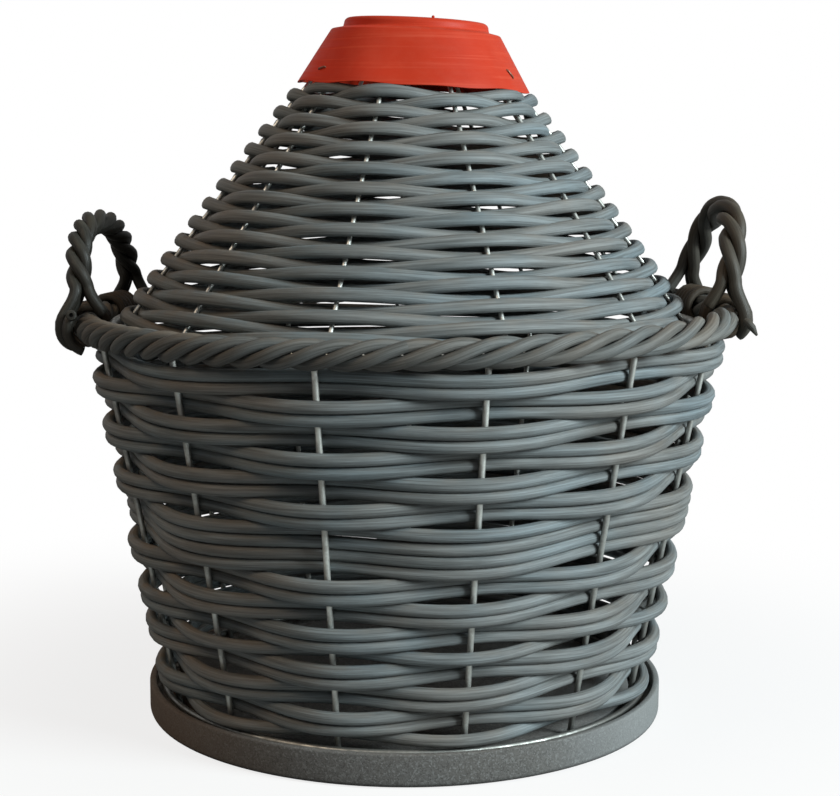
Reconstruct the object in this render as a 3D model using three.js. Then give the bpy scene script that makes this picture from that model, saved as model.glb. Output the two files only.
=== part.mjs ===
// Woven demijohn basket: flared tub on a moulded base, rope border with two
// twisted handles, and a woven hat with a neck collar that sits in the rim.
// Millimetres, +Z up. The origin is the middle of the underside of the base.
// The front of the basket faces -Y, and azimuths run from the front towards +X.
import * as THREE from 'three';

// Stock
const CLEAR = 0.3;
const STRAND_D = 3.9;
const STAKE_D = 2.1;
const HAT_STAKE_D = 1.6;
const HOOP_D = 2.4;
const HAT_HOOP_D = 4.0;

// Base tray
const BASE_R = 95.7;
const LIP_H = 11.5;
const LIP_T = 2.5;
const FLOOR_T = 4;
const SEAT_H = 8.5;
const BASE_EDGE = 1.0;

// Tub: the circle of stakes lies inside the base's edge, at the top of the lip
const TUB_STAKE_PAIRS = 6;
const STAKE_INSET = 8.3;
const TUB_LEAN = THREE.MathUtils.degToRad(10.95);
const TUB_FIRST_STAKE = THREE.MathUtils.degToRad(-14.6);
const TUB_SLACK = 0.42;
const FOOT_HOOP_DROP = 1.0;
const TUB_WEAVE_LIFT = 0.85;
const WEAVE_EASE = 0.02;

// Rope border and handles
const ROPE_STRANDS = 4;
const ROPE_R = 5.1;
const ROPE_GROOVE = 0.9;
const ROPE_TWISTS = 14;
const RIM_RISE = 1.9;
const HANDLE_FULLNESS = 2.4;
const HANDLE_GRIP_GAP = 0.25;
const HANDLE_PART_H = 12;
const HANDLE_OUTER_TAIL = 3.5;
const HANDLE_INNER_TAIL = 6.2;
const HANDLE_FOOT_GAP = 0.5;
const HANDLE_FOOT_SPREAD = 2.3;

// Each handle's height over the rope's middle, its feet as degrees round the rim
// from the front, its outward lean over the two feet in degrees, and the turns
// of its twist.
const HANDLES = [
  { word: 'left', hand: -1, height: 35.5, feet: [76, 112], leans: [12, 4], twists: 3 },
  { word: 'right', hand: 1, height: 37.8, feet: [77, 112], leans: [8.5, 14], twists: 2 },
];

// Hat
const HAT_STAKE_PAIRS = 5;
const HAT_HALF_ANGLE = THREE.MathUtils.degToRad(37.4);
const HAT_FIRST_STAKE = THREE.MathUtils.degToRad(-14.2);
const HAT_SLACK = 0.2;
const HAT_TURNS = 24.7;
const HAT_TOP_ROOM = 1.9;

// Collar
const COLLAR_T = 1.2;
const COLLAR_SKIRT_H = 19.5;
const COLLAR_SKIRT_FLARE = 11.7;
const COLLAR_STEP_W = 4.4;
const COLLAR_STEP_H = 0.9;
const COLLAR_NECK_H = 3.3;
const COLLAR_NECK_EASE = 1.9;
const COLLAR_LIP_W = 3.8;
const COLLAR_HOOP_ROOM = 1.1;
const COLLAR_SHIFT = 1.5;
const COLLAR_LEAN = THREE.MathUtils.degToRad(2.4);

const STRAND_COLOUR = 0x5c6163;
const WIRE_COLOUR = 0xb9bab2;

// A plain weave needs an odd number of stakes
const tubStakes = 2 * Math.round(TUB_STAKE_PAIRS) + 1;
const hatStakes = 2 * Math.round(HAT_STAKE_PAIRS) + 1;
const strandR = STRAND_D / 2;
const hoopR = HOOP_D / 2;
const hatHoopWireR = HAT_HOOP_D / 2;
const group = new THREE.Group();

function addMesh(parent, name, geometry, colour, roughness, metalness) {
  const material = new THREE.MeshStandardMaterial({ color: colour, roughness, metalness });
  const mesh = new THREE.Mesh(geometry, material);
  mesh.name = name;
  parent.add(mesh);
  return mesh;
}

function addStrand(parent, name, geometry) {
  return addMesh(parent, name, geometry, STRAND_COLOUR, 0.5, 0);
}

function addWire(parent, name, geometry) {
  return addMesh(parent, name, geometry, WIRE_COLOUR, 0.35, 0.9);
}

// Point at a radius, height and azimuth; azimuth 0 is the front.
function polar(radius, z, azimuth) {
  return new THREE.Vector3(radius * Math.sin(azimuth), -radius * Math.cos(azimuth), z);
}

// Skin a row of rings of equal size; a row that closes on itself joins its ends.
function skin(rings, closed) {
  const size = rings[0].length;
  const positions = [];
  for (const ring of rings) {
    for (const point of ring) {
      positions.push(point.x, point.y, point.z);
    }
  }
  const index = [];
  const spans = closed ? rings.length : rings.length - 1;
  for (let i = 0; i < spans; i += 1) {
    const near = i * size;
    const far = ((i + 1) % rings.length) * size;
    for (let j = 0; j < size; j += 1) {
      const next = (j + 1) % size;
      index.push(near + j, near + next, far + next);
      index.push(near + j, far + next, far + j);
    }
  }
  if (!closed) {
    const last = (rings.length - 1) * size;
    for (let j = 1; j < size - 1; j += 1) {
      index.push(0, j + 1, j);
      index.push(last, last + j, last + j + 1);
    }
  }
  return outward(positions, index);
}

// Turn every face outwards by the sign of the enclosed volume.
function outward(positions, index) {
  const a = new THREE.Vector3();
  const b = new THREE.Vector3();
  const c = new THREE.Vector3();
  let volume = 0;
  for (let i = 0; i < index.length; i += 3) {
    a.fromArray(positions, 3 * index[i]);
    b.fromArray(positions, 3 * index[i + 1]);
    c.fromArray(positions, 3 * index[i + 2]);
    volume += a.dot(b.cross(c));
  }
  if (volume < 0) {
    for (let i = 0; i < index.length; i += 3) {
      const swap = index[i + 1];
      index[i + 1] = index[i + 2];
      index[i + 2] = swap;
    }
  }
  const geometry = new THREE.BufferGeometry();
  geometry.setAttribute('position', new THREE.Float32BufferAttribute(positions, 3));
  geometry.setIndex(index);
  geometry.computeVertexNormals();
  return geometry;
}

// Points round a section, as shares of the two half-widths.
function ringShape(sides, halfU, halfV) {
  const shape = [];
  for (let j = 0; j < sides; j += 1) {
    const angle = (2 * Math.PI * j) / sides;
    shape.push([halfU * Math.cos(angle), halfV * Math.sin(angle)]);
  }
  return shape;
}

// A woven wall: a straight generator with its own slope. Places on it are
// given by the distance along the generator and the offset square to it.
class Wall {
  constructor(radius, z, lean) {
    this.radius = radius;
    this.z = z;
    this.lean = lean;
  }

  radiusAt(along, offset) {
    return this.radius + along * Math.sin(this.lean) + offset * Math.cos(this.lean);
  }

  heightAt(along, offset) {
    return this.z + along * Math.cos(this.lean) - offset * Math.sin(this.lean);
  }

  point(along, offset, azimuth) {
    return polar(this.radiusAt(along, offset), this.heightAt(along, offset), azimuth);
  }

  alongAtHeight(z) {
    return (z - this.z) / Math.cos(this.lean);
  }
}

// A strand woven round a wall, from one stake number to another. The stake
// numbers run on from turn to turn, and "side" is 1 where even stakes are
// passed in front and -1 where they are passed behind.
function weaver(wall, set, from, to, side, along) {
  const shape = ringShape(4, strandR - WEAVE_EASE, (set.lay - CLEAR) / 2);
  const rings = [];
  const steps = 2 * (to - from);
  for (let i = 0; i <= steps; i += 1) {
    const stake = from + i / 2;
    const azimuth = set.first + (2 * Math.PI * stake) / set.count;
    const offset = side * set.reach * Math.cos(Math.PI * stake);
    const s = along(stake);
    rings.push(shape.map(([u, v]) => wall.point(s + v, offset + u, azimuth)));
  }
  return skin(rings, false);
}

// A wire hoop; the height may climb from one side to the other.
function hoop(radius, z, wireR, sides, steps) {
  const shape = ringShape(sides, wireR, wireR);
  const rings = [];
  for (let i = 0; i < steps; i += 1) {
    const azimuth = (2 * Math.PI * i) / steps;
    rings.push(shape.map(([u, v]) => polar(radius + u, z + v, azimuth)));
  }
  return skin(rings, true);
}

// A straight wire along a wall's generator.
function stake(wall, azimuth, from, to, wireR) {
  const start = wall.point(from, 0, azimuth);
  const end = wall.point(to, 0, azimuth);
  const axis = new THREE.Vector3().subVectors(end, start);
  const geometry = new THREE.CylinderGeometry(wireR, wireR, axis.length(), 6);
  const mesh = new THREE.Object3D();
  mesh.position.copy(start).addScaledVector(axis, 0.5);
  mesh.quaternion.setFromUnitVectors(new THREE.Vector3(0, 1, 0), axis.clone().normalize());
  mesh.updateMatrix();
  geometry.applyMatrix4(mesh.matrix);
  return geometry;
}

// Turn a closed profile of radius and height about the Z axis.
function turned(profile, segments) {
  const points = profile.map(([radius, z]) => new THREE.Vector2(radius, z));
  const geometry = new THREE.LatheGeometry(points, segments);
  geometry.rotateX(Math.PI / 2);
  const position = geometry.getAttribute('position');
  const index = Array.from(geometry.getIndex().array);
  return outward(Array.from(position.array), index);
}

function pad(number) {
  return String(number).padStart(2, '0');
}

// Base tray
const tubWall = new Wall(BASE_R - STAKE_INSET, LIP_H, TUB_LEAN);
const tubSet = {
  count: tubStakes,
  first: TUB_FIRST_STAKE,
  reach: STAKE_D / 2 + CLEAR + strandR,
  lay: STRAND_D + TUB_SLACK,
};
const stakeFootZ = FLOOR_T + CLEAR;
const stakeFoot = tubWall.alongAtHeight(stakeFootZ) + (STAKE_D / 2) * Math.tan(TUB_LEAN);
const seatR = tubWall.radiusAt(stakeFoot, -STAKE_D / 2) - 2 * CLEAR;
addMesh(group, 'base', turned([
  [0, 0],
  [BASE_R - BASE_EDGE, 0],
  [BASE_R, BASE_EDGE],
  [BASE_R, LIP_H - BASE_EDGE / 2],
  [BASE_R - BASE_EDGE / 2, LIP_H],
  [BASE_R - LIP_T, LIP_H],
  [BASE_R - LIP_T, FLOOR_T],
  [seatR, FLOOR_T],
  [seatR, SEAT_H],
  [0, SEAT_H],
], 48), 0x6e6d6b, 0.9, 0);

// Foot hoop, outside the stakes and just inside the lip
const footHoopZ = LIP_H - FOOT_HOOP_DROP;
const footHoopAlong = tubWall.alongAtHeight(footHoopZ);
const hoopReach = STAKE_D / 2 + CLEAR + hoopR;
const footHoopR = tubWall.radiusAt(footHoopAlong, 0) + hoopReach / Math.cos(TUB_LEAN);
addWire(group, 'foot_hoop', hoop(footHoopR, footHoopZ, hoopR, 4, 40));

// Tub weave. The two strands of a pair lie one above the other and climb two
// lays in a turn. The lower one starts half a turn after the upper one.
const halfTurn = tubStakes / 2;
const firstStrandZ = footHoopZ + hoopR + TUB_WEAVE_LIFT + strandR;
const firstAlong = tubWall.alongAtHeight(firstStrandZ);
const upperStart = 1;
const upperAlong = (n) => firstAlong + tubSet.lay * ((n - upperStart) / halfTurn + 0.08);
const lowerAlong = (n) => upperAlong(n) - tubSet.lay;
const TUB_RUNS = [
  ['tub_weaver_lower_a', 8, 110, -1, lowerAlong],
  ['tub_weaver_lower_b', 2, 46, -1, upperAlong],
  ['tub_weaver_middle_b', 47, 97, 1, upperAlong],
  ['tub_weaver_upper_a', 111, 199, 1, lowerAlong],
  ['tub_weaver_upper_b', 98, 188, -1, upperAlong],
];
for (const [name, from, to, side, along] of TUB_RUNS) {
  addStrand(group, name, weaver(tubWall, tubSet, from, to, side, along));
}

// Rope border, laid on the last turn and climbing with it
const topStake = Math.max(...TUB_RUNS.map((run) => run[2]));
const topAlong = lowerAlong(topStake);
const topAzimuth = tubSet.first + (2 * Math.PI * topStake) / tubStakes;
const ropeCentreR = tubWall.radiusAt(topAlong, tubSet.reach);
const topZ = tubWall.heightAt(topAlong, 0) + tubSet.lay / 2;
const ropeZ = topZ + CLEAR + ROPE_R - RIM_RISE * Math.sin(topAzimuth);
const ropeHeight = (azimuth) => ropeZ + RIM_RISE * Math.sin(azimuth);

function rope() {
  const steps = 6 * ROPE_TWISTS;
  const rings = [];
  for (let i = 0; i < steps; i += 1) {
    const azimuth = (2 * Math.PI * i) / steps;
    const twist = ROPE_TWISTS * azimuth;
    const ring = [];
    for (let j = 0; j < 2 * ROPE_STRANDS; j += 1) {
      const angle = (Math.PI * j) / ROPE_STRANDS + twist;
      const reach = ROPE_R - (j % 2) * ROPE_GROOVE;
      const u = reach * Math.cos(angle);
      const v = reach * Math.sin(angle);
      ring.push(polar(ropeCentreR + u, ropeHeight(azimuth) + v, azimuth));
    }
    rings.push(ring);
  }
  return skin(rings, true);
}
addStrand(group, 'rim_rope', rope());

// Tub stakes, from the channel of the base to the underside of the rope
for (let i = 0; i < tubStakes; i += 1) {
  const azimuth = tubSet.first + (2 * Math.PI * i) / tubStakes;
  const top = tubWall.alongAtHeight(ropeHeight(azimuth) - ROPE_R);
  addWire(group, `tub_stake_${pad(i + 1)}`, stake(tubWall, azimuth, stakeFoot, top, STAKE_D / 2));
}

// Handles. Three strands are twisted into a grip that arches over the rope. At
// each foot two of them part to the outside of the rope and one to the inside.
const GRIP_PLACES = [
  { letter: 'a', angle: Math.PI / 3, outside: true, spread: 1 },
  { letter: 'b', angle: Math.PI, outside: false, spread: 0 },
  { letter: 'c', angle: -Math.PI / 3, outside: true, spread: -1 },
];

// How far round its arch a handle has come at a rise above the rope.
function archShare(handle, rise) {
  return Math.asin((rise / handle.height) ** (HANDLE_FULLNESS / 2)) / Math.PI;
}

function handleStrand(handle, place) {
  const { hand } = handle;
  const [frontAzimuth, backAzimuth] = handle.feet.map((x) => hand * THREE.MathUtils.degToRad(x));
  const [frontLean, backLean] = handle.leans.map(THREE.MathUtils.degToRad);
  const frontFoot = polar(ropeCentreR, ropeHeight(frontAzimuth), frontAzimuth);
  const backFoot = polar(ropeCentreR, ropeHeight(backAzimuth), backAzimuth);
  const chord = new THREE.Vector3().subVectors(backFoot, frontFoot).setZ(0).normalize();
  const across = new THREE.Vector3(hand * chord.y, -hand * chord.x, 0);
  const footReach = ROPE_R + HANDLE_FOOT_GAP + strandR;
  const gripReach = (2 * strandR) / Math.sqrt(3) + HANDLE_GRIP_GAP;
  const partAt = archShare(handle, HANDLE_PART_H);

  // Middle line of the grip, from the front foot to the back one
  const arch = (t) => {
    const turn = Math.cos(Math.PI * t);
    const along = -Math.sign(turn) * Math.abs(turn) ** (2 / HANDLE_FULLNESS);
    const rise = handle.height * Math.max(Math.sin(Math.PI * t), 0) ** (2 / HANDLE_FULLNESS);
    const share = (1 + along) / 2;
    const lean = THREE.MathUtils.lerp(frontLean, backLean, share);
    const point = frontFoot.clone().lerp(backFoot, share);
    point.addScaledVector(across, rise * Math.tan(lean));
    point.z += rise;
    return { along, rise, share, point };
  };

  const path = (t) => {
    const { along, rise, share, point } = arch(t);
    const ahead = arch(Math.min(t + 0.002, 1)).point;
    const tangent = ahead.sub(arch(Math.max(t - 0.002, 0)).point).normalize();
    const u = across.clone().addScaledVector(tangent, -across.dot(tangent)).normalize();
    const v = new THREE.Vector3().crossVectors(u, tangent).multiplyScalar(hand);
    const turned = THREE.MathUtils.clamp((t - partAt) / (1 - 2 * partAt), 0, 1);
    const angle = place.angle + hand * 2 * Math.PI * handle.twists * turned;
    const grip = u.multiplyScalar(gripReach * Math.cos(angle));
    grip.addScaledVector(v, gripReach * Math.sin(angle));
    const azimuth = THREE.MathUtils.lerp(frontAzimuth, backAzimuth, share);
    const foot = polar(place.outside ? footReach : -footReach, 0, azimuth);
    const spread = hand * along * place.spread * HANDLE_FOOT_SPREAD;
    foot.add(polar(spread, 0, azimuth + Math.PI / 2));
    return point.add(foot.lerp(grip, THREE.MathUtils.smoothstep(rise, 0, HANDLE_PART_H)));
  };

  const start = place.outside ? 0 : archShare(handle, HANDLE_INNER_TAIL);
  const steps = 32;
  const points = [];
  for (let i = 0; i <= steps; i += 1) {
    points.push(path(start + ((1 - 2 * start) * i) / steps));
  }
  if (place.outside) {
    const first = points[0].clone();
    const last = points[steps].clone();
    points.unshift(first.setZ(first.z - HANDLE_OUTER_TAIL));
    points.push(last.setZ(last.z - HANDLE_OUTER_TAIL));
  }
  const shape = ringShape(5, strandR, strandR);
  const rings = points.map((point, i) => {
    const before = points[Math.max(i - 1, 0)];
    const after = points[Math.min(i + 1, points.length - 1)];
    const along = new THREE.Vector3().subVectors(after, before).normalize();
    const u = across.clone().addScaledVector(along, -across.dot(along)).normalize();
    const v = new THREE.Vector3().crossVectors(along, u);
    return shape.map(([a, b]) => point.clone().addScaledVector(u, a).addScaledVector(v, b));
  });
  return skin(rings, false);
}
for (const handle of HANDLES) {
  for (const place of GRIP_PLACES) {
    const name = `${handle.word}_handle_strand_${place.letter}`;
    addMesh(group, name, handleStrand(handle, place), 0x34352f, 0.5, 0);
  }
}

// Hat. Its foot hoop rests on the inner side of the tub's last strand.
const hat = new THREE.Group();
group.add(hat);
const seatReach = (tubSet.lay - CLEAR) / 2 / Math.SQRT2 + CLEAR + hatHoopWireR;
const hatHoopR = tubWall.radiusAt(topAlong, -tubSet.reach) - seatReach / Math.SQRT2;
const hatHoopZ = tubWall.heightAt(topAlong, -tubSet.reach) + seatReach / Math.SQRT2;
const hatHoopReach = HAT_STAKE_D / 2 + CLEAR + hatHoopWireR;
const hatWall = new Wall(
  hatHoopR - hatHoopReach * Math.cos(HAT_HALF_ANGLE),
  hatHoopZ - hatHoopReach * Math.sin(HAT_HALF_ANGLE),
  -HAT_HALF_ANGLE,
);
const hatSet = {
  count: hatStakes,
  first: HAT_FIRST_STAKE,
  reach: HAT_STAKE_D / 2 + CLEAR + strandR,
  lay: STRAND_D + HAT_SLACK,
};
addWire(hat, 'hat_foot_hoop', hoop(hatHoopR, hatHoopZ, hatHoopWireR, 4, 40));

const hatFirst = hatHoopWireR + CLEAR + strandR;
const hatStart = -7;
const hatAlong = (n) => hatFirst + (hatSet.lay * (n - hatStart)) / hatStakes;
const hatPasses = 2 * Math.round((hatStakes * HAT_TURNS) / 2);
const hatEnd = hatStart + hatPasses;
const hatThird = 2 * Math.round(hatPasses / 6);
const hatJoinA = hatStart + hatThird;
const hatJoinB = hatStart + 2 * hatThird;
addStrand(hat, 'hat_weaver_lower', weaver(hatWall, hatSet, hatStart, hatJoinA - 1, 1, hatAlong));
addStrand(hat, 'hat_weaver_middle', weaver(hatWall, hatSet, hatJoinA, hatJoinB - 1, 1, hatAlong));
addStrand(hat, 'hat_weaver_upper', weaver(hatWall, hatSet, hatJoinB, hatEnd, 1, hatAlong));

const hatWeaveTop = hatAlong(hatEnd) + strandR;
const hatStakeTop = hatWeaveTop + COLLAR_SKIRT_H + HAT_TOP_ROOM;
for (let i = 0; i < hatStakes; i += 1) {
  const azimuth = hatSet.first + (2 * Math.PI * i) / hatStakes;
  const wire = stake(hatWall, azimuth, -hatHoopWireR, hatStakeTop, HAT_STAKE_D / 2);
  addWire(hat, `hat_stake_${pad(i + 1)}`, wire);
}
const topHoopAlong = hatStakeTop - hoopR;
const topHoopReach = HAT_STAKE_D / 2 + CLEAR + hoopR;
const topHoopR = hatWall.radiusAt(topHoopAlong, topHoopReach);
const topHoopZ = hatWall.heightAt(topHoopAlong, topHoopReach);
addWire(hat, 'hat_top_hoop', hoop(topHoopR, topHoopZ, hoopR, 4, 30));

// Collar: its shoulder rests on the top hoop, and its neck has an eased lip
const shoulderR = topHoopR + hoopR + COLLAR_HOOP_ROOM;
const skirtR = shoulderR + COLLAR_SKIRT_FLARE;
const neckR = shoulderR - COLLAR_STEP_W;
const skirtLength = Math.hypot(COLLAR_SKIRT_FLARE, COLLAR_SKIRT_H);
const wallR = (COLLAR_T * skirtLength) / COLLAR_SKIRT_H;
const stepTop = COLLAR_T + COLLAR_STEP_H;
const neckTop = stepTop + COLLAR_NECK_H;
const collar = addMesh(hat, 'collar', turned([
  [skirtR, COLLAR_T - COLLAR_SKIRT_H],
  [shoulderR, COLLAR_T],
  [neckR, stepTop],
  [neckR, neckTop - COLLAR_NECK_EASE],
  [neckR - COLLAR_NECK_EASE, neckTop],
  [neckR - COLLAR_LIP_W, neckTop],
  [neckR - COLLAR_LIP_W, neckTop - COLLAR_T],
  [neckR - COLLAR_LIP_W, 0],
  [shoulderR - wallR, 0],
  [skirtR - wallR, COLLAR_T - COLLAR_SKIRT_H],
  [skirtR, COLLAR_T - COLLAR_SKIRT_H],
], 40), 0xd0442c, 0.45, 0);
collar.position.x = COLLAR_SHIFT;
collar.position.z = topHoopZ + hoopR + CLEAR + topHoopR * Math.sin(COLLAR_LEAN);
collar.rotation.y = COLLAR_LEAN;

export default group;
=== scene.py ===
"""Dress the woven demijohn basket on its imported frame.

The basket has a moulded base, a tub of slewed pairs woven on wire stakes, a
four-strand rope border with two twisted handles, and a lift-off woven hat with
a moulded collar. Sizes are in millimetres and meshes in metres, +Z is up, and
the front of the basket faces -Y. Azimuths run from the front towards +X.
"""

import logging
import math
import random
from dataclasses import dataclass, field
from enum import Enum
from typing import Sequence

import bmesh
import bpy
import numpy as np
from mathutils import Matrix, Vector


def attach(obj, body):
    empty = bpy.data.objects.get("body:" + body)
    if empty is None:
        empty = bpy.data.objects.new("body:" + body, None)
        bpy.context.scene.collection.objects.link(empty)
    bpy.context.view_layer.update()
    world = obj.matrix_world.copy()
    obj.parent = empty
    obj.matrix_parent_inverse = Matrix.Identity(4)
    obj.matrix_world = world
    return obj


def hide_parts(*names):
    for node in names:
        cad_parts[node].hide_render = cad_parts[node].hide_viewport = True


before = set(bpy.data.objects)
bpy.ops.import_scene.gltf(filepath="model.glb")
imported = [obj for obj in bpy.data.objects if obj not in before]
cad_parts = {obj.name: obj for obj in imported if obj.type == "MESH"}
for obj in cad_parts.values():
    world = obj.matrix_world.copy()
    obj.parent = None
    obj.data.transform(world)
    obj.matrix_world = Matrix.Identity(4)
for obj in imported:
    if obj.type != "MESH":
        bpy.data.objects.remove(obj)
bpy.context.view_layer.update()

LOG = logging.getLogger("demijohn_basket")
MM = 0.001
WELD = 0.002 * MM
WHITE = (1.0, 1.0, 1.0, 1.0)
# How far back each ring of a rounded cut end lies, and how full it is.
CUT_END = ((1.0, 1.0), (0.35, 0.93), (0.0, 0.72))
Colour = tuple[float, float, float]
Pair = tuple[float, float]
Socket = bpy.types.NodeSocket
Tree = bpy.types.NodeTree
Material = bpy.types.Material
Mesh = bpy.types.Mesh
Piece = bpy.types.Object
Form = bmesh.types.BMesh
Feed = Socket | float | Colour


class Body(Enum):
    """The bodies that pieces ride on."""

    TUB = "tub"
    HAT = "hat"
    LEFT_HANDLE = "left_handle"
    RIGHT_HANDLE = "right_handle"


class Slot(Enum):
    """The record's material slots."""

    BASE = "base"
    WIRE = "wire"
    STRAND = "strand"
    HANDLE = "handle"
    COLLAR = "collar"


class Side(Enum):
    """Which side of an even stake a strand passes."""

    FRONT = 1
    BEHIND = -1


def polar(radius: float, z: float, azimuth: float) -> Vector:
    """Give the point at a radius, height and azimuth, in millimetres."""
    return Vector((radius * math.sin(azimuth), -radius * math.cos(azimuth), z))


def smoothstep(value: float, low: float, high: float) -> float:
    """Ease from 0 at low to 1 at high."""
    share = min(max((value - low) / (high - low), 0.0), 1.0)
    return share * share * (3.0 - 2.0 * share)


def behind(azimuth: float) -> float:
    """Give 0 at the front and the sides, rising to 1 round the back."""
    return smoothstep(-math.cos(azimuth), 0.0, 0.8)


def between(value: float, rise: Pair, fall: Pair) -> float:
    """Ease from 0 to 1 over the rise and back to 0 over the fall."""
    return smoothstep(value, *rise) * (1.0 - smoothstep(value, *fall))


class Wobble:
    """Smooth, repeatable unevenness along a strand: a few sines with seeded phases."""

    COUNT = 5
    CREST = 2.6

    def __init__(self, seed: int, pitch: float, depth: float) -> None:
        """Choose the waves.

        Args:
            seed: Picks one unevenness among many.
            pitch: About how far apart two crests lie.
            depth: The largest departure, about.
        """
        dice = random.Random(seed)
        self.depth = depth
        self.waves = [
            (dice.uniform(0.55, 1.6) / pitch, dice.uniform(0.0, math.tau))
            for _ in range(self.COUNT)
        ]

    def at(self, place: float) -> float:
        """Give the departure at a place along the strand."""
        total = sum(math.sin(math.tau * rate * place + phase) for rate, phase in self.waves)
        return self.depth * total / self.CREST


@dataclass
class Path:
    """The middle line of a strand, with the strand's radius at each point.

    Attributes:
        points: Points in millimetres.
        radii: Radius at each point in millimetres.
        closed: True where the end joins the start.
        mark: Shift of the lengthwise coordinate, so that no two strands look alike.
        press: Direction in which each section is pressed flat, its length squared
            being the share that is taken off. Empty for a round strand.
    """

    points: list[Vector]
    radii: list[float]
    closed: bool = False
    mark: float = 0.0
    press: list[Vector] = field(default_factory=list)

    def length(self) -> float:
        """Give the length in millimetres."""
        ends = self.points[1:] + (self.points[:1] if self.closed else [])
        return sum((b - a).length for a, b in zip(self.points, ends))

    def round_ends(self, depth: float) -> "Path":
        """Draw both ends in, as on a cut strand.

        Args:
            depth: How far the rounding reaches back, in millimetres.

        Returns:
            The path itself.
        """
        for end, inner in ((0, 1), (-1, -2)):
            tip, size = self.points[end], self.radii[end]
            inward = (self.points[inner] - tip).normalized() * depth
            rings = [(tip + inward * back, size * full) for back, full in CUT_END]
            if end == 0:
                rings.reverse()
            spot = slice(-1, None) if end else slice(0, 1)
            self.points[spot] = [place for place, _ in rings]
            self.radii[spot] = [radius for _, radius in rings]
        if self.press:
            self.press = self.press[:1] * 2 + self.press + self.press[-1:] * 2
        return self


@dataclass(frozen=True)
class Wall:
    """A woven wall: a straight generator turned about the Z axis.

    Attributes:
        radius: Radius of the generator's foot.
        z: Height of the generator's foot.
        lean: Slope from the upright, outwards, in radians.
    """

    radius: float
    z: float
    lean: float

    def radius_at(self, along: float, offset: float) -> float:
        """Give the radius at a distance along the wall and an offset square to it."""
        return self.radius + along * math.sin(self.lean) + offset * math.cos(self.lean)

    def height_at(self, along: float, offset: float) -> float:
        """Give the height at a distance along the wall and an offset square to it."""
        return self.z + along * math.cos(self.lean) - offset * math.sin(self.lean)

    def point(self, along: float, offset: float, azimuth: float) -> Vector:
        """Give the point at a distance along, an offset and an azimuth."""
        return polar(self.radius_at(along, offset), self.height_at(along, offset), azimuth)

    def along_at_height(self, z: float) -> float:
        """Give the distance along the wall at a height."""
        return (z - self.z) / math.cos(self.lean)


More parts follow.
